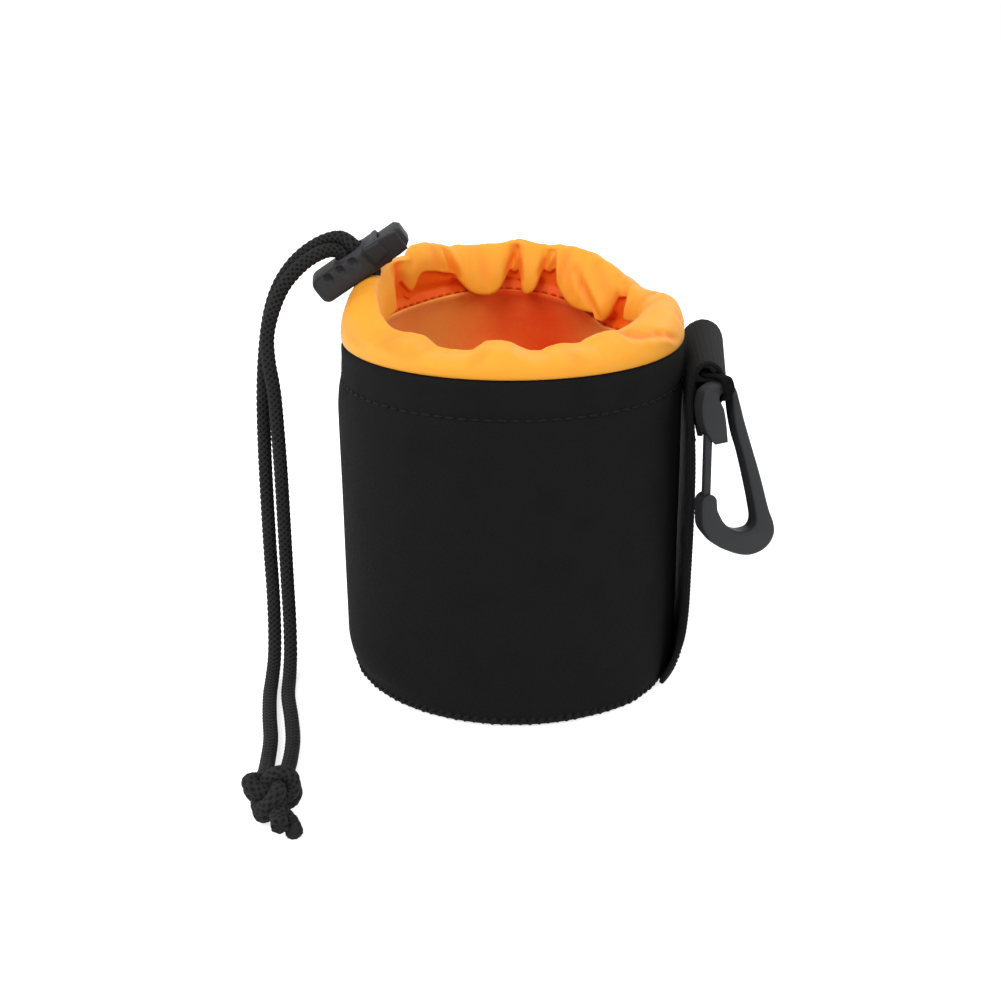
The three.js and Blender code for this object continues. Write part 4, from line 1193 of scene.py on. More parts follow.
@dataclass
class GatheredCollar:
    """The nylon band that is folded over the drawstring and gathered into lobes."""

    steps: int = 880
    per: int = 4
    skirt_low: float = 93.0
    skirt: float = 45.7
    bulge: float = 49.8
    rim: float = 102.0

    # Edge radius from which a section counts as a valley between lobes, and the span to a full one.
    VALLEY = (37.2, 2.4)

    # Angle, crest height, crest radius, height and radius of the lobe's hanging edge.
    STOPS = (
        (0, 114.4, 43.2, 105.6, 36.6), (10, 113.2, 43.2, 104.0, 37.2), (20, 112.3, 43.2, 103.0, 37.6),
        (26, 112.0, 43.0, 102.6, 37.6), (28.6, 112.0, 43.0, 105.0, 39.2), (31, 112.3, 43.0, 108.6, 40.4),
        (35.5, 113.4, 43.0, 108.0, 40.3), (38, 114.3, 43.0, 103.0, 37.6), (40.5, 115.2, 43.0, 100.6, 35.6),
        (43.5, 116.3, 43.0, 100.8, 35.2), (46, 117.2, 43.0, 102.8, 35.4), (52, 119.0, 43.0, 103.0, 35.0),
        (57, 120.2, 43.0, 103.7, 35.0), (61, 120.9, 43.0, 105.0, 35.4), (65, 121.2, 43.0, 107.5, 36.0),
        (67.6, 121.2, 43.0, 110.2, 36.8), (69.2, 121.2, 43.0, 113.0, 38.4), (70.6, 121.2, 43.0, 113.8, 40.2),
        (73, 121.2, 43.0, 112.8, 40.6), (75.4, 121.3, 43.0, 113.6, 40.2), (76.8, 121.5, 43.0, 112.0, 38.0),
        (78, 121.6, 43.0, 109.4, 36.4), (79.8, 121.7, 43.0, 107.6, 35.6), (82.6, 121.9, 43.0, 106.8, 35.1),
        (84.8, 122.3, 43.0, 107.6, 35.6), (86, 122.5, 43.0, 110.6, 37.6), (87.2, 122.7, 43.0, 113.2, 40.2),
        (88.8, 122.6, 43.0, 112.6, 40.6), (90.4, 122.4, 43.0, 113.4, 40.2), (92, 122.0, 43.0, 112.8, 38.4),
        (93.8, 121.7, 43.0, 110.8, 36.9), (96.2, 121.5, 42.9, 108.6, 35.8), (99.4, 121.4, 42.8, 107.2, 35.2),
        (103, 121.4, 42.7, 106.7, 34.9), (107, 121.4, 42.6, 106.9, 34.9), (110.5, 121.5, 42.6, 107.7, 35.3),
        (113.4, 121.5, 42.6, 109.2, 35.8), (115.6, 121.6, 42.6, 111.0, 36.6),
        (117.2, 121.7, 42.6, 112.8, 37.8), (119.2, 122.0, 42.6, 113.4, 38.8),
        (123, 122.9, 42.6, 114.0, 38.8), (129, 123.5, 42.6, 114.9, 38.6), (134, 123.3, 42.6, 115.3, 38.5),
        (137, 122.0, 42.6, 114.2, 38.9), (139, 120.9, 42.6, 111.2, 39.4), (141, 120.6, 42.4, 109.8, 39.8),
        (143.4, 120.6, 42.4, 111.2, 40.4), (146, 120.7, 42.2, 113.2, 40.8), (150, 120.8, 41.9, 112.2, 40.6),
        (154, 120.8, 41.7, 110.0, 39.6), (158, 120.6, 41.3, 107.6, 37.6), (162, 120.3, 41.0, 106.8, 36.6),
        (167, 119.9, 40.8, 106.6, 36.3), (172, 119.4, 40.8, 106.6, 36.3), (178, 118.4, 40.8, 106.6, 36.4),
        (184, 117.2, 40.8, 106.4, 36.6), (191, 115.4, 40.8, 106.0, 37.2), (198, 113.0, 40.8, 105.4, 37.8),
        (205, 111.2, 40.7, 105.0, 38.0), (213, 110.0, 40.5, 104.6, 38.0), (219, 109.8, 40.2, 104.4, 37.6),
        (227.4, 110.3, 40.0, 104.2, 37.0), (232.4, 110.1, 40.0, 104.0, 36.6),
        (235, 109.2, 40.0, 103.8, 36.2), (237.6, 108.0, 39.9, 103.6, 36.0), (243, 107.5, 39.9, 103.4, 35.4),
        (250, 107.5, 40.0, 103.2, 34.6), (254, 107.7, 40.0, 103.0, 34.2), (257.4, 109.1, 40.0, 103.2, 33.2),
        (260.5, 110.5, 40.0, 103.6, 32.8), (265, 110.7, 40.0, 103.6, 32.8),
        (269.5, 110.3, 40.0, 103.4, 32.8), (273.2, 108.8, 40.0, 103.0, 33.2),
        (277, 107.9, 40.0, 103.0, 33.4), (281, 107.8, 40.0, 103.0, 33.2), (285, 108.8, 40.0, 103.2, 32.8),
        (289.5, 109.3, 40.0, 103.4, 32.8), (295, 108.9, 40.0, 103.2, 33.2), (299, 109.0, 40.1, 103.2, 33.2),
        (303.5, 110.2, 40.2, 103.6, 32.8), (309, 111.0, 40.4, 104.0, 32.8), (318, 110.6, 41.0, 104.2, 33.6),
        (332, 111.8, 41.8, 105.2, 34.8), (345, 113.4, 42.6, 105.8, 36.0), (360, 114.4, 43.2, 105.6, 36.6))

    # Folds: whether on the inner face, angle and height of both ends, width, depth.
    FOLDS = (
        (True, 58.5, 115.0, 41.0, 101.5, 1.3, 0.9), (True, 121.5, 121.5, 117.4, 113.0, 1.0, 0.9),
        (True, 87.6, 120.6, 92.2, 113.0, 0.8, 0.7), (True, 87.0, 120.6, 84.8, 111.0, 0.8, 0.7),
        (True, 72.4, 119.6, 77.0, 113.0, 0.8, 0.7), (True, 70.4, 119.6, 69.0, 112.0, 0.8, 0.7),
        (True, 64.0, 119.0, 60.0, 108.0, 1.6, 0.45), (True, 105.0, 119.0, 103.0, 110.0, 2.2, 0.4),
        (True, 50.0, 117.0, 38.0, 108.0, 1.6, 0.4), (True, 128.0, 121.5, 126.0, 116.0, 1.6, 0.35),
        (False, 313.0, 110.4, 327.0, 109.0, 1.1, 1.1), (False, 327.0, 109.0, 338.0, 105.4, 1.1, 0.9),
        (False, 216.0, 110.0, 236.0, 106.5, 2.0, 0.5), (False, 197.0, 108.0, 214.0, 105.6, 1.8, 0.4),
        (False, 262.0, 109.6, 258.0, 106.4, 1.5, 0.4), (False, 288.0, 108.6, 292.0, 105.8, 1.6, 0.35),
        (False, 346.0, 111.0, 352.0, 105.0, 1.6, 0.5), (False, 172.0, 115.0, 186.0, 107.0, 2.2, 0.5),
        (False, 18.0, 110.6, 24.0, 105.4, 1.5, 0.6), (False, 42.0, 113.0, 38.0, 105.6, 1.6, 0.7),
        (False, 57.0, 118.0, 62.0, 106.0, 1.5, 0.8), (False, 73.0, 119.6, 71.0, 107.0, 1.7, 0.9),
        (False, 88.5, 120.6, 92.0, 106.4, 1.6, 1.0), (False, 103.0, 119.6, 99.5, 107.0, 1.5, 0.7),
        (False, 117.0, 120.0, 121.0, 106.2, 1.7, 0.9), (False, 138.0, 120.0, 134.0, 106.6, 1.6, 0.9),
        (False, 152.0, 118.6, 157.0, 107.0, 1.6, 0.7))

    def profile_at(self, angle: np.ndarray) -> Dict[str, np.ndarray]:
        """Crest and hanging edge round the collar.

        Args:
            angle: degrees.

        Returns:
            Crest height and radius, edge height and radius.
        """
        names = ("crest", "crest_r", "edge", "edge_r")
        return {name: eased(angle, [(s[0], s[k + 1]) for s in self.STOPS]) for k, name in enumerate(names)}

    def sections(self, angle: np.ndarray) -> np.ndarray:
        """Stops of the closed section at each angle.

        Args:
            angle: degrees.

        Returns:
            Radius and height of each stop, first by stop and then by angle.
        """
        p = self.profile_at(angle)
        crest, cr, edge, er = p["crest"], p["crest_r"], p["edge"], p["edge_r"]
        full = np.ones_like(angle)
        seam = seam_height(angle)
        shoulder = self.rim + 3.5 - bell(away(angle, 270.0), 0.0, 50.0)
        rise = crest - shoulder
        drop = crest - edge
        valley = ramp(er, *self.VALLEY)
        back = np.maximum(er + 2.0 - 0.9 * valley, 40.2)
        tuck = np.minimum(edge + 0.9 - 3.2 * valley, 111.5)
        rows = [
            (self.skirt * full, self.skirt_low * full),
            (self.skirt * full, 98.0 * full),
            (self.skirt * full, (self.rim - 0.5) * full),
            ((self.bulge - 1.9) * full, (self.rim - 0.1) * full),
            ((self.bulge - 0.15) * full, (self.rim + 0.5) * full),
            ((self.bulge + 0.15) * full, shoulder),
            (self.bulge - 0.09 * (self.bulge - cr), shoulder + 0.42 * rise),
            (self.bulge - 0.36 * (self.bulge - cr), shoulder + 0.78 * rise),
            (cr + 1.9, crest - 0.45),
            (cr, crest),
            (cr - 1.5, crest - 0.6),
            (cr - 0.42 * (cr - er) - 0.8, crest - 0.22 * drop),
            (cr - 0.74 * (cr - er) - 0.6, crest - 0.5 * drop),
            (er + 0.02 * (cr - er), edge + 0.2 * drop),
            (er + 0.12, edge + 0.35),
            (er + 0.9, edge - 0.05),
            (back, tuck),
            (41.7 * full, np.minimum(seam + 2.3, crest - 2.6)),
            (40.9 * full, np.minimum(seam + 0.7, crest - 3.6)),
            (40.5 * full, seam - 0.8),
            (42.2 * full, seam - 4.4),
            ((self.skirt - 1.0) * full, self.skirt_low * full),
        ]
        return np.stack([np.stack(row, axis=-1) for row in rows])

    def folds(self, angle: np.ndarray, line: np.ndarray, stop: np.ndarray) -> Tuple[np.ndarray, np.ndarray]:
        """Folds drawn along lines on the inner or the outer face.

        Args:
            angle: degrees.
            line: radius and height by angle and section point.
            stop: place of each section point along the section.

        Returns:
            Outward shift and depth of shade at each angle and section point.
        """
        shift = np.zeros(line.shape[:2])
        deep = np.zeros(line.shape[:2])
        for inner, a0, z0, a1, z1, wide, depth in self.FOLDS:
            x = away(angle, a0)[:, None] * 0.7
            z = line[..., 1] - z0
            dx, dz = (a1 - a0) * 0.7, z1 - z0
            share = np.clip((x * dx + z * dz) / (dx * dx + dz * dz), 0.0, 1.0)
            off = np.hypot(x - share * dx, z - share * dz)
            side = np.sign((x - share * dx) * dz - (z - share * dz) * dx)
            low, high = (9.6, 15.4) if inner else (4.6, 9.4)
            face = ramp(stop, low, 0.8) * ramp(stop, high, -0.8)
            fade = 0.35 + 0.65 * np.sin(math.pi * np.clip(share * 0.8 + 0.1, 0.0, 1.0))
            groove = bell(off, 0.0, wide)
            ridge = bell(off, 1.7 * wide, 1.1 * wide) * (0.35 + 0.3 * side)
            shift += face * fade * depth * (ridge - groove)
            deep += face * fade * depth * groove
        return shift, deep

    def wrinkles(self, angle: np.ndarray, count: int) -> Tuple[np.ndarray, np.ndarray]:
        """Small folds that run from the channel over the band and into the mouth.

        Args:
            angle: degrees.
            count: points of the section.

        Returns:
            Outward shift at each angle and section point, and how deep a fold is there, which the collar
            paints as shade.
        """
        random = np.random.default_rng(11)
        place = np.arange(count)[None, :] / count
        shift = np.zeros((len(angle), count))
        deep = np.zeros((len(angle), count))
        for _ in range(110):
            centre = random.uniform(0.0, 360.0)
            front = abs(away(centre, 275.0)) < 75.0
            wide = random.uniform(0.9, 2.6)
            middle = random.uniform(0.26, 0.62)
            spread = random.uniform(0.05, 0.12)
            depth = random.uniform(0.06, 0.26) * (0.5 if front else 1.0)
            slant = random.uniform(-22.0, 22.0)
            off = away(angle[:, None] - centre - slant * (place - middle), 0.0)
            window = bell(place, middle, spread)
            shift -= depth * window * (bell(off, 0.0, wide) - 0.5 * bell(off, 2 * wide, wide))
            deep += depth * window * bell(off, 0.0, wide)
        return shift, deep

    def surface(self) -> Tuple[np.ndarray, np.ndarray]:
        """Points of the collar and the share of the painted shade colour at each.

        Returns:
            Points by angle and section, and shares.
        """
        angle = np.linspace(0.0, 360.0, self.steps, endpoint=False)
        stops = self.sections(angle)
        padded = np.concatenate([stops, np.zeros(stops.shape[:2] + (1,))], axis=-1)
        line = spline(padded, closed=True, per=self.per)[..., :2].transpose(1, 0, 2)
        count = line.shape[1]
        ahead = unit(np.roll(line, -1, axis=1) - np.roll(line, 1, axis=1))
        out = np.stack([ahead[..., 1], -ahead[..., 0]], axis=-1)
        shift, deep = self.wrinkles(angle, count)
        stop = np.arange(count)[None, :] / self.per
        gate = ramp(stop, 4.5, 1.5) * ramp(stop, 15.5, -2.0)
        fold, dark = self.folds(angle, line, stop)
        line = line + out * (shift * gate + fold)[..., None]
        rows = round_axis(line[..., 0], np.radians(angle)[:, None], line[..., 1])
        edge_r = self.profile_at(angle)["edge_r"][:, None]
        # Painted shade: the colour is darkened on the valleys' inner faces, in the pocket at the left, under
        # the hanging edges and along fold and wrinkle grooves.
        recess = ramp(edge_r, 36.5, 4.0) * ramp(stop, 11.5, 3.0)
        pocket = bell(away(angle, 150.0), 0.0, 4.5)[:, None] * ramp(stop, 9.8, 1.5)
        early = ramp(edge_r, *self.VALLEY) * 1.6
        under = ramp(stop - 14.6, -early, 1.2 + early)
        shade = np.clip(0.5 * recess + 0.85 * pocket + under + 0.7 * deep * gate + 0.55 * dark, 0.0, 1.0)
        return rows, shade

    def build(self, stitches: StitchTree) -> List[Object]:
        """Make the collar and its inner stitch row.

        Args:
            stitches: the tree that sews.

        Returns:
            The pieces.
        """
        rows, shade = self.surface()
        around = np.linspace(0.0, TURN * 45.0, self.steps + 1)
        band = woven_grid("nylon_collar", rows, (True, True), (around, run_round(rows[0])), shade)
        dress(band, NYLON, Body.POUCH, ["collar"])
        line = rows[:, int(18.6 * self.per)]
        nearer = 1.0 - 0.3 / 41.0
        inward = line * np.array([nearer, nearer, 1.0])
        seam = stitches.sew("collar_inner_stitch_row", [inward], ORANGE_THREAD, 2.9, 1.9, 0.7, closed=True)
        dress(seam, ORANGE_THREAD, Body.POUCH)
        return [band, seam]


@dataclass
class CordLock:
    """The spring lock on the cords: a moulded body with relief, and a faceted button."""

    low: float = -14.6
    high: float = 9.4
    deep: float = 8.4
    wide: float = 9.7
    floor: float = 6.1
    slot: float = 4.7
    slot_wide: float = 4.6
    head_high: float = 16.4
    nose: float = 2.6

    def side_relief(self, u: np.ndarray, v: np.ndarray) -> np.ndarray:
        """Moulded relief of the broad sides: scooped dents along the upper edge, with ribs between them.

        Args:
            u: place along the lock.
            v: place along the cords.

        Returns:
            Height of the relief.
        """
        height = np.zeros_like(u)
        for centre in (-9.0, -4.7, -0.3):
            a = (u - centre) * 0.92 + (v - 3.0) * 0.35
            b = (v - 3.0) * 0.92 - (u - centre) * 0.35
            rho = np.sqrt((a / 1.3) ** 2 + (b / 2.2) ** 2)
            height += -np.exp(-(rho / 0.85) ** 4) + 0.15 * bell(rho, 1.25, 0.22)
        ledge = u - 3.1 + 0.17 * v
        height += 0.18 * bell(ledge, 0.0, 0.3) - 0.3 * ramp(ledge, 0.6, 0.5)
        return height

    def body(self) -> Object:
        """Make the body about its own axes.

        Returns:
            The body, in the lock's own frame.
        """
        us = np.concatenate([np.linspace(self.low, self.low + self.nose, 14),
                             np.linspace(self.low + 2.85, 4.6, 76), np.linspace(4.9, self.high, 18)])
        ring_v, ring_w = squarish(full_turn(176), 2.0 / 5.5)
        end = ramp(us, self.low, self.nose)
        inset = self.nose * (1.0 - np.sqrt(np.clip(1.0 - (1.0 - end) ** 2, 0.0, 1.0))) * 0.85
        lip = -0.35 * ramp(us, self.high - 0.4, 0.4) ** 2
        collar = 0.22 * ramp(us, 7.6, 0.5)
        waist = -0.3 * bell(us, 0.5, 3.0)
        v = ring_v[None] * (0.5 * self.deep - inset + lip + collar + waist)[:, None]
        w = ring_w[None] * (0.5 * self.wide - inset * 0.8 + lip)[:, None]
        u = us[:, None] + np.zeros_like(v)
        broad = ramp(np.abs(ring_w), 0.8, 0.15)[None]
        relief = broad * self.side_relief(u, v) * end[:, None]
        w = w + np.sign(ring_w)[None] * relief
        face = ramp(np.abs(ring_v), 0.93, 0.06)[None]
        off_u, off_w = np.abs(u / (self.slot + 0.3)), np.abs(w / (0.5 * self.slot_wide + 0.5))
        rho = (off_u ** 3 + off_w ** 3) ** (1.0 / 3.0)
        v = v + np.sign(ring_v)[None] * face * 0.5 * np.clip(1.28 - rho, 0.0, 0.25) / 0.25
        rows = np.stack([u, v, w], axis=-1)
        # Painted shade: the dents of the side relief are darkened in colour by their depth.
        return woven_grid("cord_lock_shell", rows, (False, True),
                          (us, np.linspace(0.0, 30.0, 177)), np.clip(-relief * 0.9, 0.0, 1.0), ends=True)

    def slot_cutter(self, high: float) -> Object:
        """Make the rounded bar that cuts the cords' slot.

        Args:
            high: the slot's end toward the button.

        Returns:
            The cutter, in the lock's own frame.
        """
        half = 0.5 * self.slot_wide
        bend = np.linspace(-0.5 * math.pi, 0.5 * math.pi, 10)
        right = [(high - half + half * math.cos(a), half * math.sin(a)) for a in bend]
        left = [(-self.slot + half - half * math.cos(a), -half * math.sin(a)) for a in bend]
        ring = np.array(right + left)
        rows = np.stack([np.stack([ring[:, 0], np.full(len(ring), v), ring[:, 1]], axis=1)
                         for v in (-8.0, 8.0)])
        return woven_grid("slot_cutter", rows, (False, True),
                          (np.array([0.0, 16.0]), np.linspace(0.0, 20.0, len(ring) + 1)), ends=True)

    def eight_sided(self, name: str, rings: Sequence[Tuple[float, float, float, float]]) -> Object:
        """Make a solid with cut-off corners from rings along the lock.

        Args:
            name: the object's name.
            rings: place along the lock, half depth, half width and corner cut of each ring.

        Returns:
            The solid, in the lock's own frame.
        """
        rows = []
        for u, d, w, cut in rings:
            corners = [(d, w - cut), (d - cut, w), (cut - d, w), (-d, w - cut),
                       (-d, cut - w), (cut - d, -w), (d - cut, -w), (d, cut - w)]
            rows.append([(u, a, b) for a, b in corners])
        return woven_grid(name, np.array(rows, float), (False, True),
                          (np.arange(len(rows)), np.arange(9)), ends=True)

    def slab(self, name: str, outline: Sequence[Pair], low: float, high: float,
             chamfer: float) -> Object:
        """Make a flat block with a chamfered front from an outline.

        Args:
            name: the object's name.
            outline: places along the lock and along the cords.
            low: its back, across the lock.
            high: its front.
            chamfer: width of the chamfer round its front.

        Returns:
            The block, in the lock's own frame.
        """
        ring = np.array(outline, float)
        middle = ring.mean(axis=0)
        reach = np.linalg.norm(ring - middle, axis=1, keepdims=True)
        inner = middle + (ring - middle) * (1.0 - chamfer * 1.3 / reach)
        layers = ((ring, low), (ring, high - chamfer), (inner, high))
        rows = np.array([[(u, v, w) for u, v in points] for points, w in layers])
        return woven_grid(name, rows, (False, True), (np.arange(3), np.arange(len(ring) + 1)), ends=True)

    def button(self) -> Object:
        """Make the button: slotted stem, faceted head, front apron and thumb pad.

        Returns:
            The button, in the lock's own frame.
        """
        high = self.head_high
        head = self.eight_sided("cord_lock_push", [
            (9.3, 3.15, 3.8, 0.6), (15.0, 3.15, 3.8, 0.6), (high, 2.3, 2.9, 0.6)])
        stem = self.eight_sided("stem", [(-6.2, 2.35, 3.0, 0.4), (9.9, 2.35, 3.0, 0.4)])
        stem = cut_or_join(stem, self.slot_cutter(self.slot + 3.0), "DIFFERENCE")
        apron = self.slab("apron", [(4.4, 4.5), (10.0, 4.3), (13.2, 3.9), (15.3, 3.3), (15.3, -3.0),
                                    (12.4, -3.2), (6.6, -3.1), (5.0, -2.4)], 5.05, 6.1, 0.35)
        bridge = self.eight_sided("bridge", [(12.8, 2.4, 5.8, 0.4), (15.0, 2.4, 5.8, 0.4)])
        pad = self.slab("pad", [(4.75, 4.2), (9.7, 3.9), (10.2, -0.6), (5.3, -1.6)], 5.9, 6.9, 0.45)
        back = self.slab("back_cut", [(9.0, 6.0), (18.0, 6.0), (18.0, -6.0), (9.0, -6.0)], -8.0, -4.6, 0.01)
        joined = cut_or_join(head, stem, "UNION")
        for extra in (bridge, apron, pad):
            joined = cut_or_join(joined, extra, "UNION")
        joined = cut_or_join(joined, back, "DIFFERENCE")
        return soft_edges(joined, 0.14, 2, 20.0)

    def build(self) -> List[Object]:
        """Make body and button and put them on the cords.

        Returns:
            The pieces.
        """
        place = LockFrame()
        shell = self.body()
        cup = self.eight_sided("cup", [(self.floor, 3.45, 4.1, 0.6), (12.0, 3.45, 4.1, 0.6)])
        pocket = self.eight_sided("pocket", [(-11.6, 2.7, 3.35, 0.3), (7.0, 2.7, 3.35, 0.3)])
        for cutter in (cup, pocket, self.slot_cutter(self.slot)):
            shell = cut_or_join(shell, cutter, "DIFFERENCE")
        shell.data.shade_smooth()
        shell.data.set_sharp_from_angle(angle=math.radians(40.0))
        push = self.button()
        for piece in (shell, push):
            moved(piece, place.axes(), np.array(place.centre))
        dress(shell, LOCK, Body.LOCK, ["cord_lock_body"])
        dress(push, BUTTON, Body.BUTTON, ["cord_lock_button"])
        return [shell, push]


@dataclass
class BeltStrap:
    """The wide webbing strap with its rolled top, its stitch rows and the hanger tape in the roll."""

    wide: float = 46.5
    thick: float = 1.5
    turn: float = -3.0
    foot_radius: float = 51.3
    flare: float = 3.0
    rib: float = 1.35

    def line(self, across: float) -> np.ndarray:
        """Middle line of the strap at one place across it.

        Args:
            across: -1 at the near edge and 1 at the far edge.

        Returns:
            Stops of the line.
        """
        y = 0.5 * self.wide * across
        fl = 0.5 * (across + 1.0) * self.flare
        hug = self.foot_radius - math.sqrt(self.foot_radius ** 2 - y * y)
        foot = self.foot_radius - hug
        stops = [(foot, 1.6), (foot + 0.4 + 0.28 * hug, 5.5), (foot + 0.8 + 0.54 * hug, 9.6),
                 (foot + 1.0 + 0.83 * hug, 15.8), (foot + 1.1 + 0.97 * hug, 24.0), (52.5, 38.0), (52.6, 56.0),
                 (52.4, 70.0), (51.8, 80.0), (51.2, 86.0), (51.15, 92.0), (51.6, 96.6), (53.3, 99.6),
                 (55.9 + 0.4 * fl, 100.4 + 0.3 * fl), (58.3 + 0.8 * fl, 98.8 + 0.4 * fl),
                 (59.7 + fl, 95.6 + 0.3 * fl), (59.5 + fl, 92.0), (58.2 + 0.8 * fl, 88.4),
                 (55.9 + 0.4 * fl, 86.0), (53.9, 83.4), (53.9, 79.6)]
        return np.array([(d, y, z) for d, z in stops])

    def placed(self, rows: np.ndarray) -> np.ndarray:
        """Points turned to the strap's side of the pouch."""
        a = math.radians(self.turn)
        x, y = rows[..., 0], rows[..., 1]
        return np.stack([x * math.cos(a) - y * math.sin(a), x * math.sin(a) + y * math.cos(a), rows[..., 2]],
                        axis=-1)

    def grid(self, along: int, over: int) -> np.ndarray:
        """Grid of the strap's middle surface.

        Args:
            along: points along the strap.
            over: points across it.

        Returns:
            The points.
        """
        lines = []
        for a in np.linspace(-1.0, 1.0, over):
            fine = spline(self.line(a), per=16)
            run = np.linspace(0.0, len(fine) - 1.0, along)
            lines.append(sampled(run, np.arange(len(fine)), fine))
        rows = np.stack(lines, axis=1)
        way = run_along(rows[:, over // 2])
        want = np.linspace(0.0, way[-1], along)
        return sampled(want, way, rows.reshape(along, -1)).reshape(rows.shape)

    def tape_stops(self) -> Tuple[np.ndarray, np.ndarray, np.ndarray]:
        """Stops of the hanger tape round the carabiner's top bar.

        Returns:
            Points, width directions, and widths with thicknesses.
        """
        clip = Carabiner()
        h, n = np.array(clip.axes()[0]), np.array(clip.axes()[2])
        eye = np.array(clip.centre) + 0.1 * h
        x, z = eye[0] - 3.0, clip.centre[2]

        def by(a: float, up: float) -> np.ndarray:
            """A point beside the eye."""
            return eye + n * a + np.array([0.0, 0.0, up])

        points = [(x, -14, z + 7.0), (x, -21, z + 7.6), (x, -26.5, z + 8.6),
                  by(0, 9.3), by(2.2, 9.0), by(3.5, 6.8), by(3.5, 5.85), by(2.0, 4.05), by(0, 3.95),
                  by(-2.8, 3.85), (x + 0.3, -23, z + 2.8), (x, -14, z + 2.8)]
        flat, turned = (1.0, 0.0, 0.0), tuple(h)
        across = [flat] * 3 + [turned] * 7 + [flat] * 2
        sizes = [(4, 1.2)] * 3 + [(3.6, 1.2)] * 3 + [(2.4, 1.5)] * 4 + [(4, 1.2)] * 2
        return np.array(points, float), np.array(across, float), np.array(sizes, float)

    def tape(self) -> Object:
        """Make the hanger tape.

        Returns:
            The tape.
        """
        points, across, sizes = self.tape_stops()
        per = 14
        line = spline(points, per=per)
        at = np.arange(len(line)) / per
        marks = np.arange(len(points))
        sizes = sampled(at, marks, sizes) * 0.5
        way = sampled(at, marks, across)
        tangent = unit(np.gradient(line, axis=0))
        way = unit(way - tangent * (way * tangent).sum(axis=1, keepdims=True))
        up = np.cross(tangent, way)
        a, b = squarish(full_turn(28), 0.5)
        rows = (line[:, None] + way[:, None] * (a[None, :] * sizes[:, :1])[..., None]
                + up[:, None] * (b[None, :] * sizes[:, 1:])[..., None])
        flat = (run_along(line), np.linspace(0.0, 10.0, len(a) + 1))
        return woven_grid("hanger_tape", rows, (False, True), flat, ends=True)

    def build(self, stitches: StitchTree) -> List[Object]:
        """Make the strap, its stitch rows and the tape.

        Args:
            stitches: the tree that sews.

        Returns:
            The pieces.
        """
        rows = self.placed(self.grid(640, 33))
        way = run_along(rows[:, 16])
        ribs = 0.11 * np.abs(np.sin(math.pi * way / self.rib)) ** 0.7 - 0.06
        strap = ribbon_piece("webbing_strap", rows, self.thick, ribs)
        dress(strap, WEBBING, Body.POUCH, ["belt_strap"])
        coarse = self.placed(self.grid(220, 33))
        out = unit(np.cross(np.gradient(coarse, axis=1), np.gradient(coarse, axis=0)))
        out = out * np.sign(out[110, 16, 0])
        lines = []
        for z in (5.0, 9.0, 77.5):
            k = int(np.argmin(np.abs(coarse[:150, 16, 2] - z)))
            lines.append((coarse + out * 0.85)[k, 2:-2])
        flap = len(coarse) - 4
        lines.append((coarse - out * 0.85)[flap, 2:-2])
        rowset = stitches.sew("strap_stitch_rows", lines, THREAD, 2.6, 2.0, 0.7)
        dress(rowset, THREAD, Body.POUCH)
        tape = self.tape()
        dress(tape, TAPE, Body.POUCH, ["hanger_loop"])
        return [strap, rowset, tape]


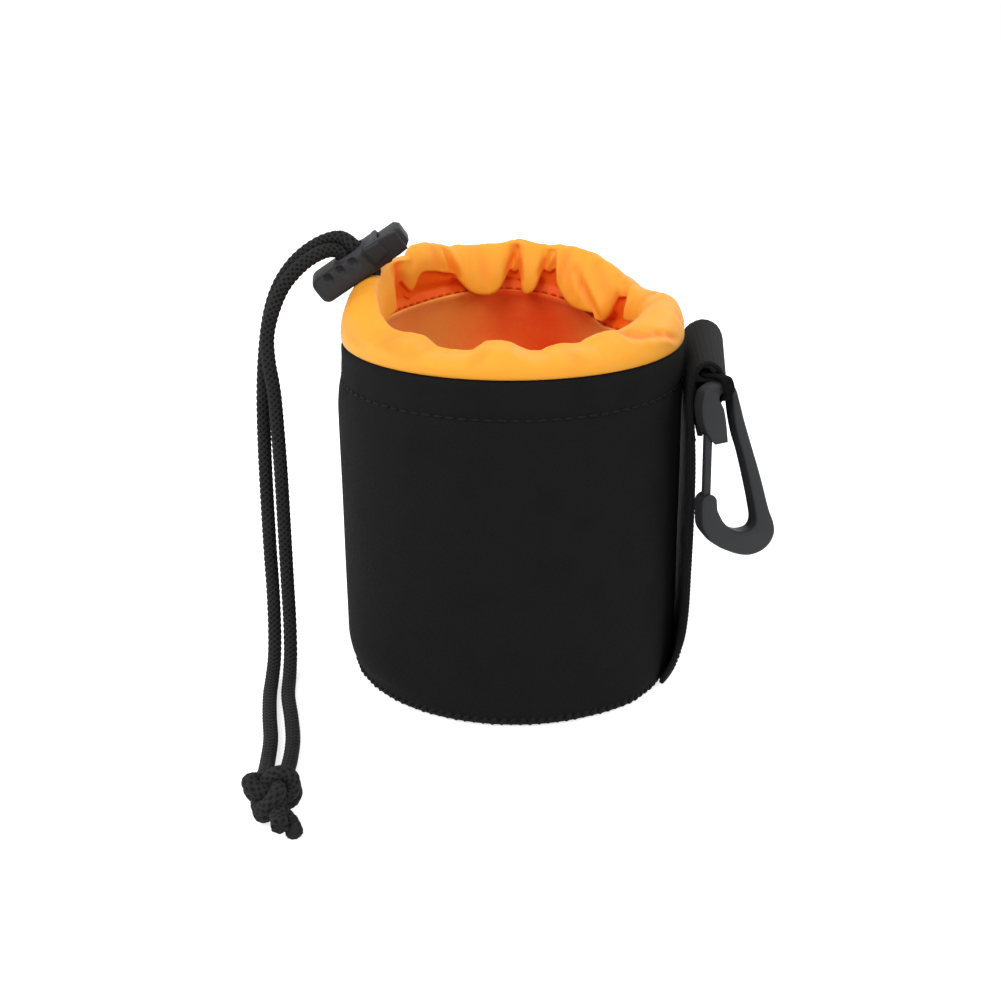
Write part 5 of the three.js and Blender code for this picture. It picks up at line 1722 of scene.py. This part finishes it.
@dataclass
class Carabiner:
    """The moulded carabiner: flat-nosed frame and thin spring gate."""

    centre: Triple = (57.2, -31.0, 88.4)
    turn: float = 25.0
    thick: float = 5.0
    edge: float = 0.8
    pivot: Pair = (-3.3, -26.2)
    tip: Pair = (-3.7, -6.0)
    prong: float = 2.5
    gate_wide: float = 2.2
    gate_thick: float = 2.0
    sweep: float = 6.2

    OUTER = (
        (-2.2, -9.1), (-4.4, -6.6), (-6.1, -3.6), (-7.0, -0.2), (-7.2, 3.4), (-6.4, 6.2), (-4.2, 7.7),
        (-1.2, 8.3), (1.2, 8.0), (3.2, 6.6), (4.9, 2.4), (6.7, -3.0), (9.7, -11.0), (13.5, -21.1),
        (16.9, -31.1), (19.0, -36.1), (19.3, -39.0), (17.9, -41.9), (15.4, -43.7), (11.8, -44.4),
        (8.2, -43.8), (4.0, -42.0), (-0.1, -39.6), (-3.1, -36.4), (-5.1, -33.4), (-5.6, -30.2))
    INNER = (
        (-0.5, -28.6), (0.6, -30.8), (1.9, -32.8), (3.9, -34.7), (7.0, -36.4), (9.6, -36.8), (11.9, -36.2),
        (12.7, -34.4), (11.7, -29.1), (9.5, -21.2), (6.8, -12.5), (5.2, -8.4), (4.0, -4.4), (3.2, -1.0),
        (2.7, 1.8), (2.4, 3.7), (2.0, 4.7), (1.2, 5.4), (-0.8, 5.4), (-1.6, 4.8), (-1.7, 3.9), (-1.0, 2.6),
        (-0.2, 1.2), (0.4, -0.8), (0.9, -3.2), (1.3, -5.6), (1.6, -7.6), (1.8, -8.9))

    def axes(self) -> List[np.ndarray]:
        """Its three directions: toward the spine, up, and out of its plane."""
        a = math.radians(self.turn)
        return [np.array([math.cos(a), math.sin(a), 0.0]), np.array([0.0, 0.0, 1.0]),
                np.array([math.sin(a), -math.cos(a), 0.0])]

    def outline(self) -> np.ndarray:
        """Smooth outline of the frame in its own plane.

        Returns:
            Points of the closed outline.
        """
        smooth_outer = spline([(x, y, 0.0) for x, y in self.OUTER], per=5)[:, :2]
        smooth_inner = spline([(x, y, 0.0) for x, y in self.INNER], per=5)[:, :2]
        px, py = self.pivot
        bend = [(px + self.prong * math.cos(a), py + self.prong * math.sin(a))
                for a in np.linspace(math.pi, 0.0, 14)]
        return np.concatenate([smooth_outer, bend, smooth_inner])

    def plate(self, name: str, outline: np.ndarray, thick: float, edge: float) -> Object:
        """Make a flat plate with rounded edges from an outline.

        Args:
            name: the object's name.
            outline: closed outline, in millimetres.
            thick: full thickness.
            edge: radius of its rounded edges.

        Returns:
            The plate, in its own plane.
        """
        curve = bpy.data.curves.new(name, "CURVE")
        curve.dimensions = "2D"
        curve.fill_mode = "BOTH"
        curve.extrude = (0.5 * thick - edge) * MM
        curve.bevel_depth = edge * MM
        curve.bevel_resolution = 3
        curve.offset = -edge * MM
        ring = curve.splines.new("POLY")
        ring.points.add(len(outline) - 1)
        ring.use_cyclic_u = True
        for point, (x, y) in zip(ring.points, outline):
            point.co = (x * MM, y * MM, 0.0, 1.0)
        holder = linked(name + "_line", curve)
        piece = plain_copy(holder, name)
        bpy.data.objects.remove(holder)
        face_outward(piece.data, weld=1e-6)
        return piece

    def gate_length(self) -> float:
        """Distance from the gate's pivot to its tip."""
        (px, py), (tx, ty) = self.pivot, self.tip
        return math.hypot(tx - px, ty - py)

    def along_gate(self, points: Sequence[Pair]) -> np.ndarray:
        """Turn points given along and across the gate to the frame's own plane.

        Args:
            points: distances along the gate from its pivot, and across it.

        Returns:
            The points in the frame's plane.
        """
        (px, py), (tx, ty) = self.pivot, self.tip
        a = math.atan2(ty - py, tx - px)
        return np.array([(px + x * math.cos(a) - y * math.sin(a), py + x * math.sin(a) + y * math.cos(a))
                         for x, y in points])

    def bar(self, spare: float, extra: float) -> np.ndarray:
        """Outline of the gate, widened by a spare and, on its inner side, by the room it swings in.

        Args:
            spare: growth all round.
            extra: growth on the inner side.

        Returns:
            Points of the outline.
        """
        end = self.gate_length() + spare
        half = 0.5 * self.gate_wide + spare
        return self.along_gate([(0.0, -half - extra), (end, -half - extra), (end, half), (0.0, half)])

    def round_bar(self) -> np.ndarray:
        """Outline of the gate itself: a bar with a round knuckle and a rounded tip.

        Returns:
            Points of the outline.
        """
        length, half, knuckle, bend = self.gate_length(), 0.5 * self.gate_wide, 1.9, 0.7
        lean = math.asin(half / knuckle)
        hub = [(knuckle * math.cos(a), knuckle * math.sin(a)) for a in np.linspace(lean, TURN - lean, 22)]
        end = [(length - bend + bend * math.cos(a), math.copysign(half - bend, a) + bend * math.sin(a))
               for a in (-1.57, -1.1, -0.6, -0.1, 0.1, 0.6, 1.1, 1.57)]
        return self.along_gate(hub + end)

    def build(self) -> List[Object]:
        """Make frame and gate and hang them in their place.

        Returns:
            The pieces.
        """
        body = self.plate("carabiner_hook", self.outline(), self.thick, self.edge)
        room = self.plate("gate_room", self.bar(0.3, self.sweep), self.gate_thick + 0.5, 0.01)
        px, py = self.pivot
        round_room = [(px + 2.2 * math.cos(a), py + 2.2 * math.sin(a)) for a in full_turn(24)]
        hub = self.plate("hub_room", np.array(round_room), self.gate_thick + 0.5, 0.01)
        body = cut_or_join(cut_or_join(body, room, "DIFFERENCE"), hub, "DIFFERENCE")
        gate = self.plate("carabiner_gate_bar", self.round_bar(), self.gate_thick, 0.45)
        for piece in (body, gate):
            piece.data.shade_smooth()
            piece.data.set_sharp_from_angle(angle=math.radians(38.0))
            moved(piece, self.axes(), np.array(self.centre))
        dress(body, CLIP, Body.CLIP, ["carabiner_frame"])
        dress(gate, CLIP, Body.GATE, ["carabiner_gate"])
        return [body, gate]


@dataclass
class Studio:
    """Camera at the picture's view, pale floor and soft light."""

    eye: Triple = (0.0, -0.400, 0.2004)
    pitch: float = 20.54
    yaw: float = -0.54
    roll: float = -0.37
    focal: float = 1396.0
    picture: float = 1001.0
    sensor: float = 36.0
    floor_half: float = 4.0
    floor_gap: float = 0.0002
    floor_glow: float = 0.72
    fill: float = 0.47

    # Name, place and side in metres, and watts of each lamp.
    LAMPS = (
        ("key_lamp", (-0.45, -0.7, 0.95), 0.6, 6.8),
        ("side_lamp", (-0.95, 0.1, 0.45), 0.5, 3.6),
        ("back_lamp", (0.55, 0.55, 0.75), 0.5, 3.0),
        ("right_lamp", (0.7, -0.5, 0.75), 0.45, 2.9))
    AIM = (0.0, 0.0, 0.07)

    def camera(self) -> Object:
        """Make the camera and set it as the scene's own.

        Returns:
            The camera.
        """
        p, y, r = (math.radians(a) for a in (self.pitch, self.yaw, self.roll))
        ahead = Vector((math.sin(y) * math.cos(p), math.cos(y) * math.cos(p), -math.sin(p)))
        level = Vector((math.cos(y), -math.sin(y), 0.0))
        rise = level.cross(ahead)
        right = level * math.cos(r) + rise * math.sin(r)
        up = rise * math.cos(r) - level * math.sin(r)
        data = bpy.data.cameras.new("picture_camera")
        data.sensor_width = self.sensor
        data.lens = self.focal * self.sensor / self.picture
        data.clip_start = 0.01
        holder = linked("picture_camera", data)
        holder.matrix_world = placing((right, up, -ahead), self.eye)
        bpy.context.scene.camera = holder
        return holder

    @staticmethod
    def seen(tree: Tree, path: bpy.types.Node) -> Socket:
        """Tell the rays that show the background: straight, mirrored or let through.

        Args:
            tree: the node tree.
            path: its Light Path node.

        Returns:
            A socket that is one on such rays.
        """
        value = path.outputs["Is Camera Ray"]
        for label in ("Is Glossy Ray", "Is Transmission Ray"):
            either = tree.nodes.new("ShaderNodeMath")
            either.operation = "MAXIMUM"
            tree.links.new(value, either.inputs[0])
            tree.links.new(path.outputs[label], either.inputs[1])
            value = either.outputs["Value"]
        return value

    def floor(self) -> Object:
        """Make the pale floor, which shows white to the camera and keeps the contact shadow.

        Returns:
            The floor.
        """
        mesh = bpy.data.meshes.new("pale_floor")
        half = self.floor_half
        corners = [(-half, -half, 0.0), (half, -half, 0.0), (half, half, 0.0), (-half, half, 0.0)]
        mesh.from_pydata(corners, [], [(0, 1, 2, 3)])
        piece = linked("pale_floor", mesh)
        piece.location.z = -self.floor_gap
        material = bpy.data.materials.new("pale_floor")
        material.use_nodes = True
        tree = material.node_tree
        shader = tree.nodes["Principled BSDF"]
        shader.inputs["Base Color"].default_value = (0.8, 0.8, 0.8, 1.0)
        shader.inputs["Roughness"].default_value = 0.9
        shader.inputs["Specular IOR Level"].default_value = 0.0
        shader.inputs["Emission Color"].default_value = (1.0, 1.0, 1.0, 1.0)
        path = tree.nodes.new("ShaderNodeLightPath")
        seen = self.seen(tree, path)
        glow = tree.nodes.new("ShaderNodeMath")
        glow.operation = "MULTIPLY"
        glow.inputs[1].default_value = self.floor_glow
        tree.links.new(seen, glow.inputs[0])
        tree.links.new(glow.outputs["Value"], shader.inputs["Emission Strength"])
        mesh.materials.append(material)
        return piece

    def world(self) -> None:
        """Make the surroundings: white to the eye and to gloss, softer as light."""
        world = bpy.data.worlds.new("soft_surround")
        world.use_nodes = True
        bpy.context.scene.world = world
        tree = world.node_tree
        back = tree.nodes["Background"]
        back.inputs["Color"].default_value = (1.0, 1.0, 1.0, 1.0)
        path = tree.nodes.new("ShaderNodeLightPath")
        seen = self.seen(tree, path)
        level = tree.nodes.new("ShaderNodeMapRange")
        level.inputs["To Min"].default_value = self.fill
        level.inputs["To Max"].default_value = 1.0
        tree.links.new(seen, level.inputs["Value"])
        tree.links.new(level.outputs["Result"], back.inputs["Strength"])

    def lamp(self, name: str, place: Triple, aim: Triple, size: float, power: float) -> Object:
        """Add one soft area lamp.

        Args:
            name: the lamp's name.
            place: where it stands, in metres.
            aim: what it points at.
            size: its side.
            power: its watts.

        Returns:
            The lamp.
        """
        data = bpy.data.lights.new(name, "AREA")
        data.size = size
        data.energy = power
        holder = linked(name, data)
        holder.location = place
        holder.rotation_euler = (Vector(aim) - Vector(place)).to_track_quat("-Z", "Y").to_euler()
        return holder

    def light(self) -> None:
        """Set the lamps and the view transform."""
        for name, place, size, power in self.LAMPS:
            self.lamp(name, place, self.AIM, size, power)
        bpy.context.scene.view_settings.view_transform = "Standard"


def main() -> None:
    """Build the pouch piece by piece, then light it."""
    logging.basicConfig(level=logging.INFO)
    studio = Studio()
    studio.camera()
    stitches = StitchTree()
    groups = (
        ("drawstring", Drawstring().build()),
        ("wall", PouchWall().build(stitches)),
        ("lining", PlushLining().build()),
        ("collar", GatheredCollar().build(stitches)),
        ("cord lock", CordLock().build()),
        ("strap", BeltStrap().build(stitches)),
        ("carabiner", Carabiner().build()),
    )
    for label, pieces in groups:
        for piece in pieces:
            LOG.info("%s: %s, %d faces", label, piece.name, len(piece.data.polygons))
    for node in ("cord_lock_spring", "carabiner_gate_pin"):
        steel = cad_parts[node]
        steel.data.materials.clear()
        steel.data.materials.append(SHOP.material(STEEL))
    studio.floor()
    studio.world()
    studio.light()


if __name__ == "__main__":
    main()
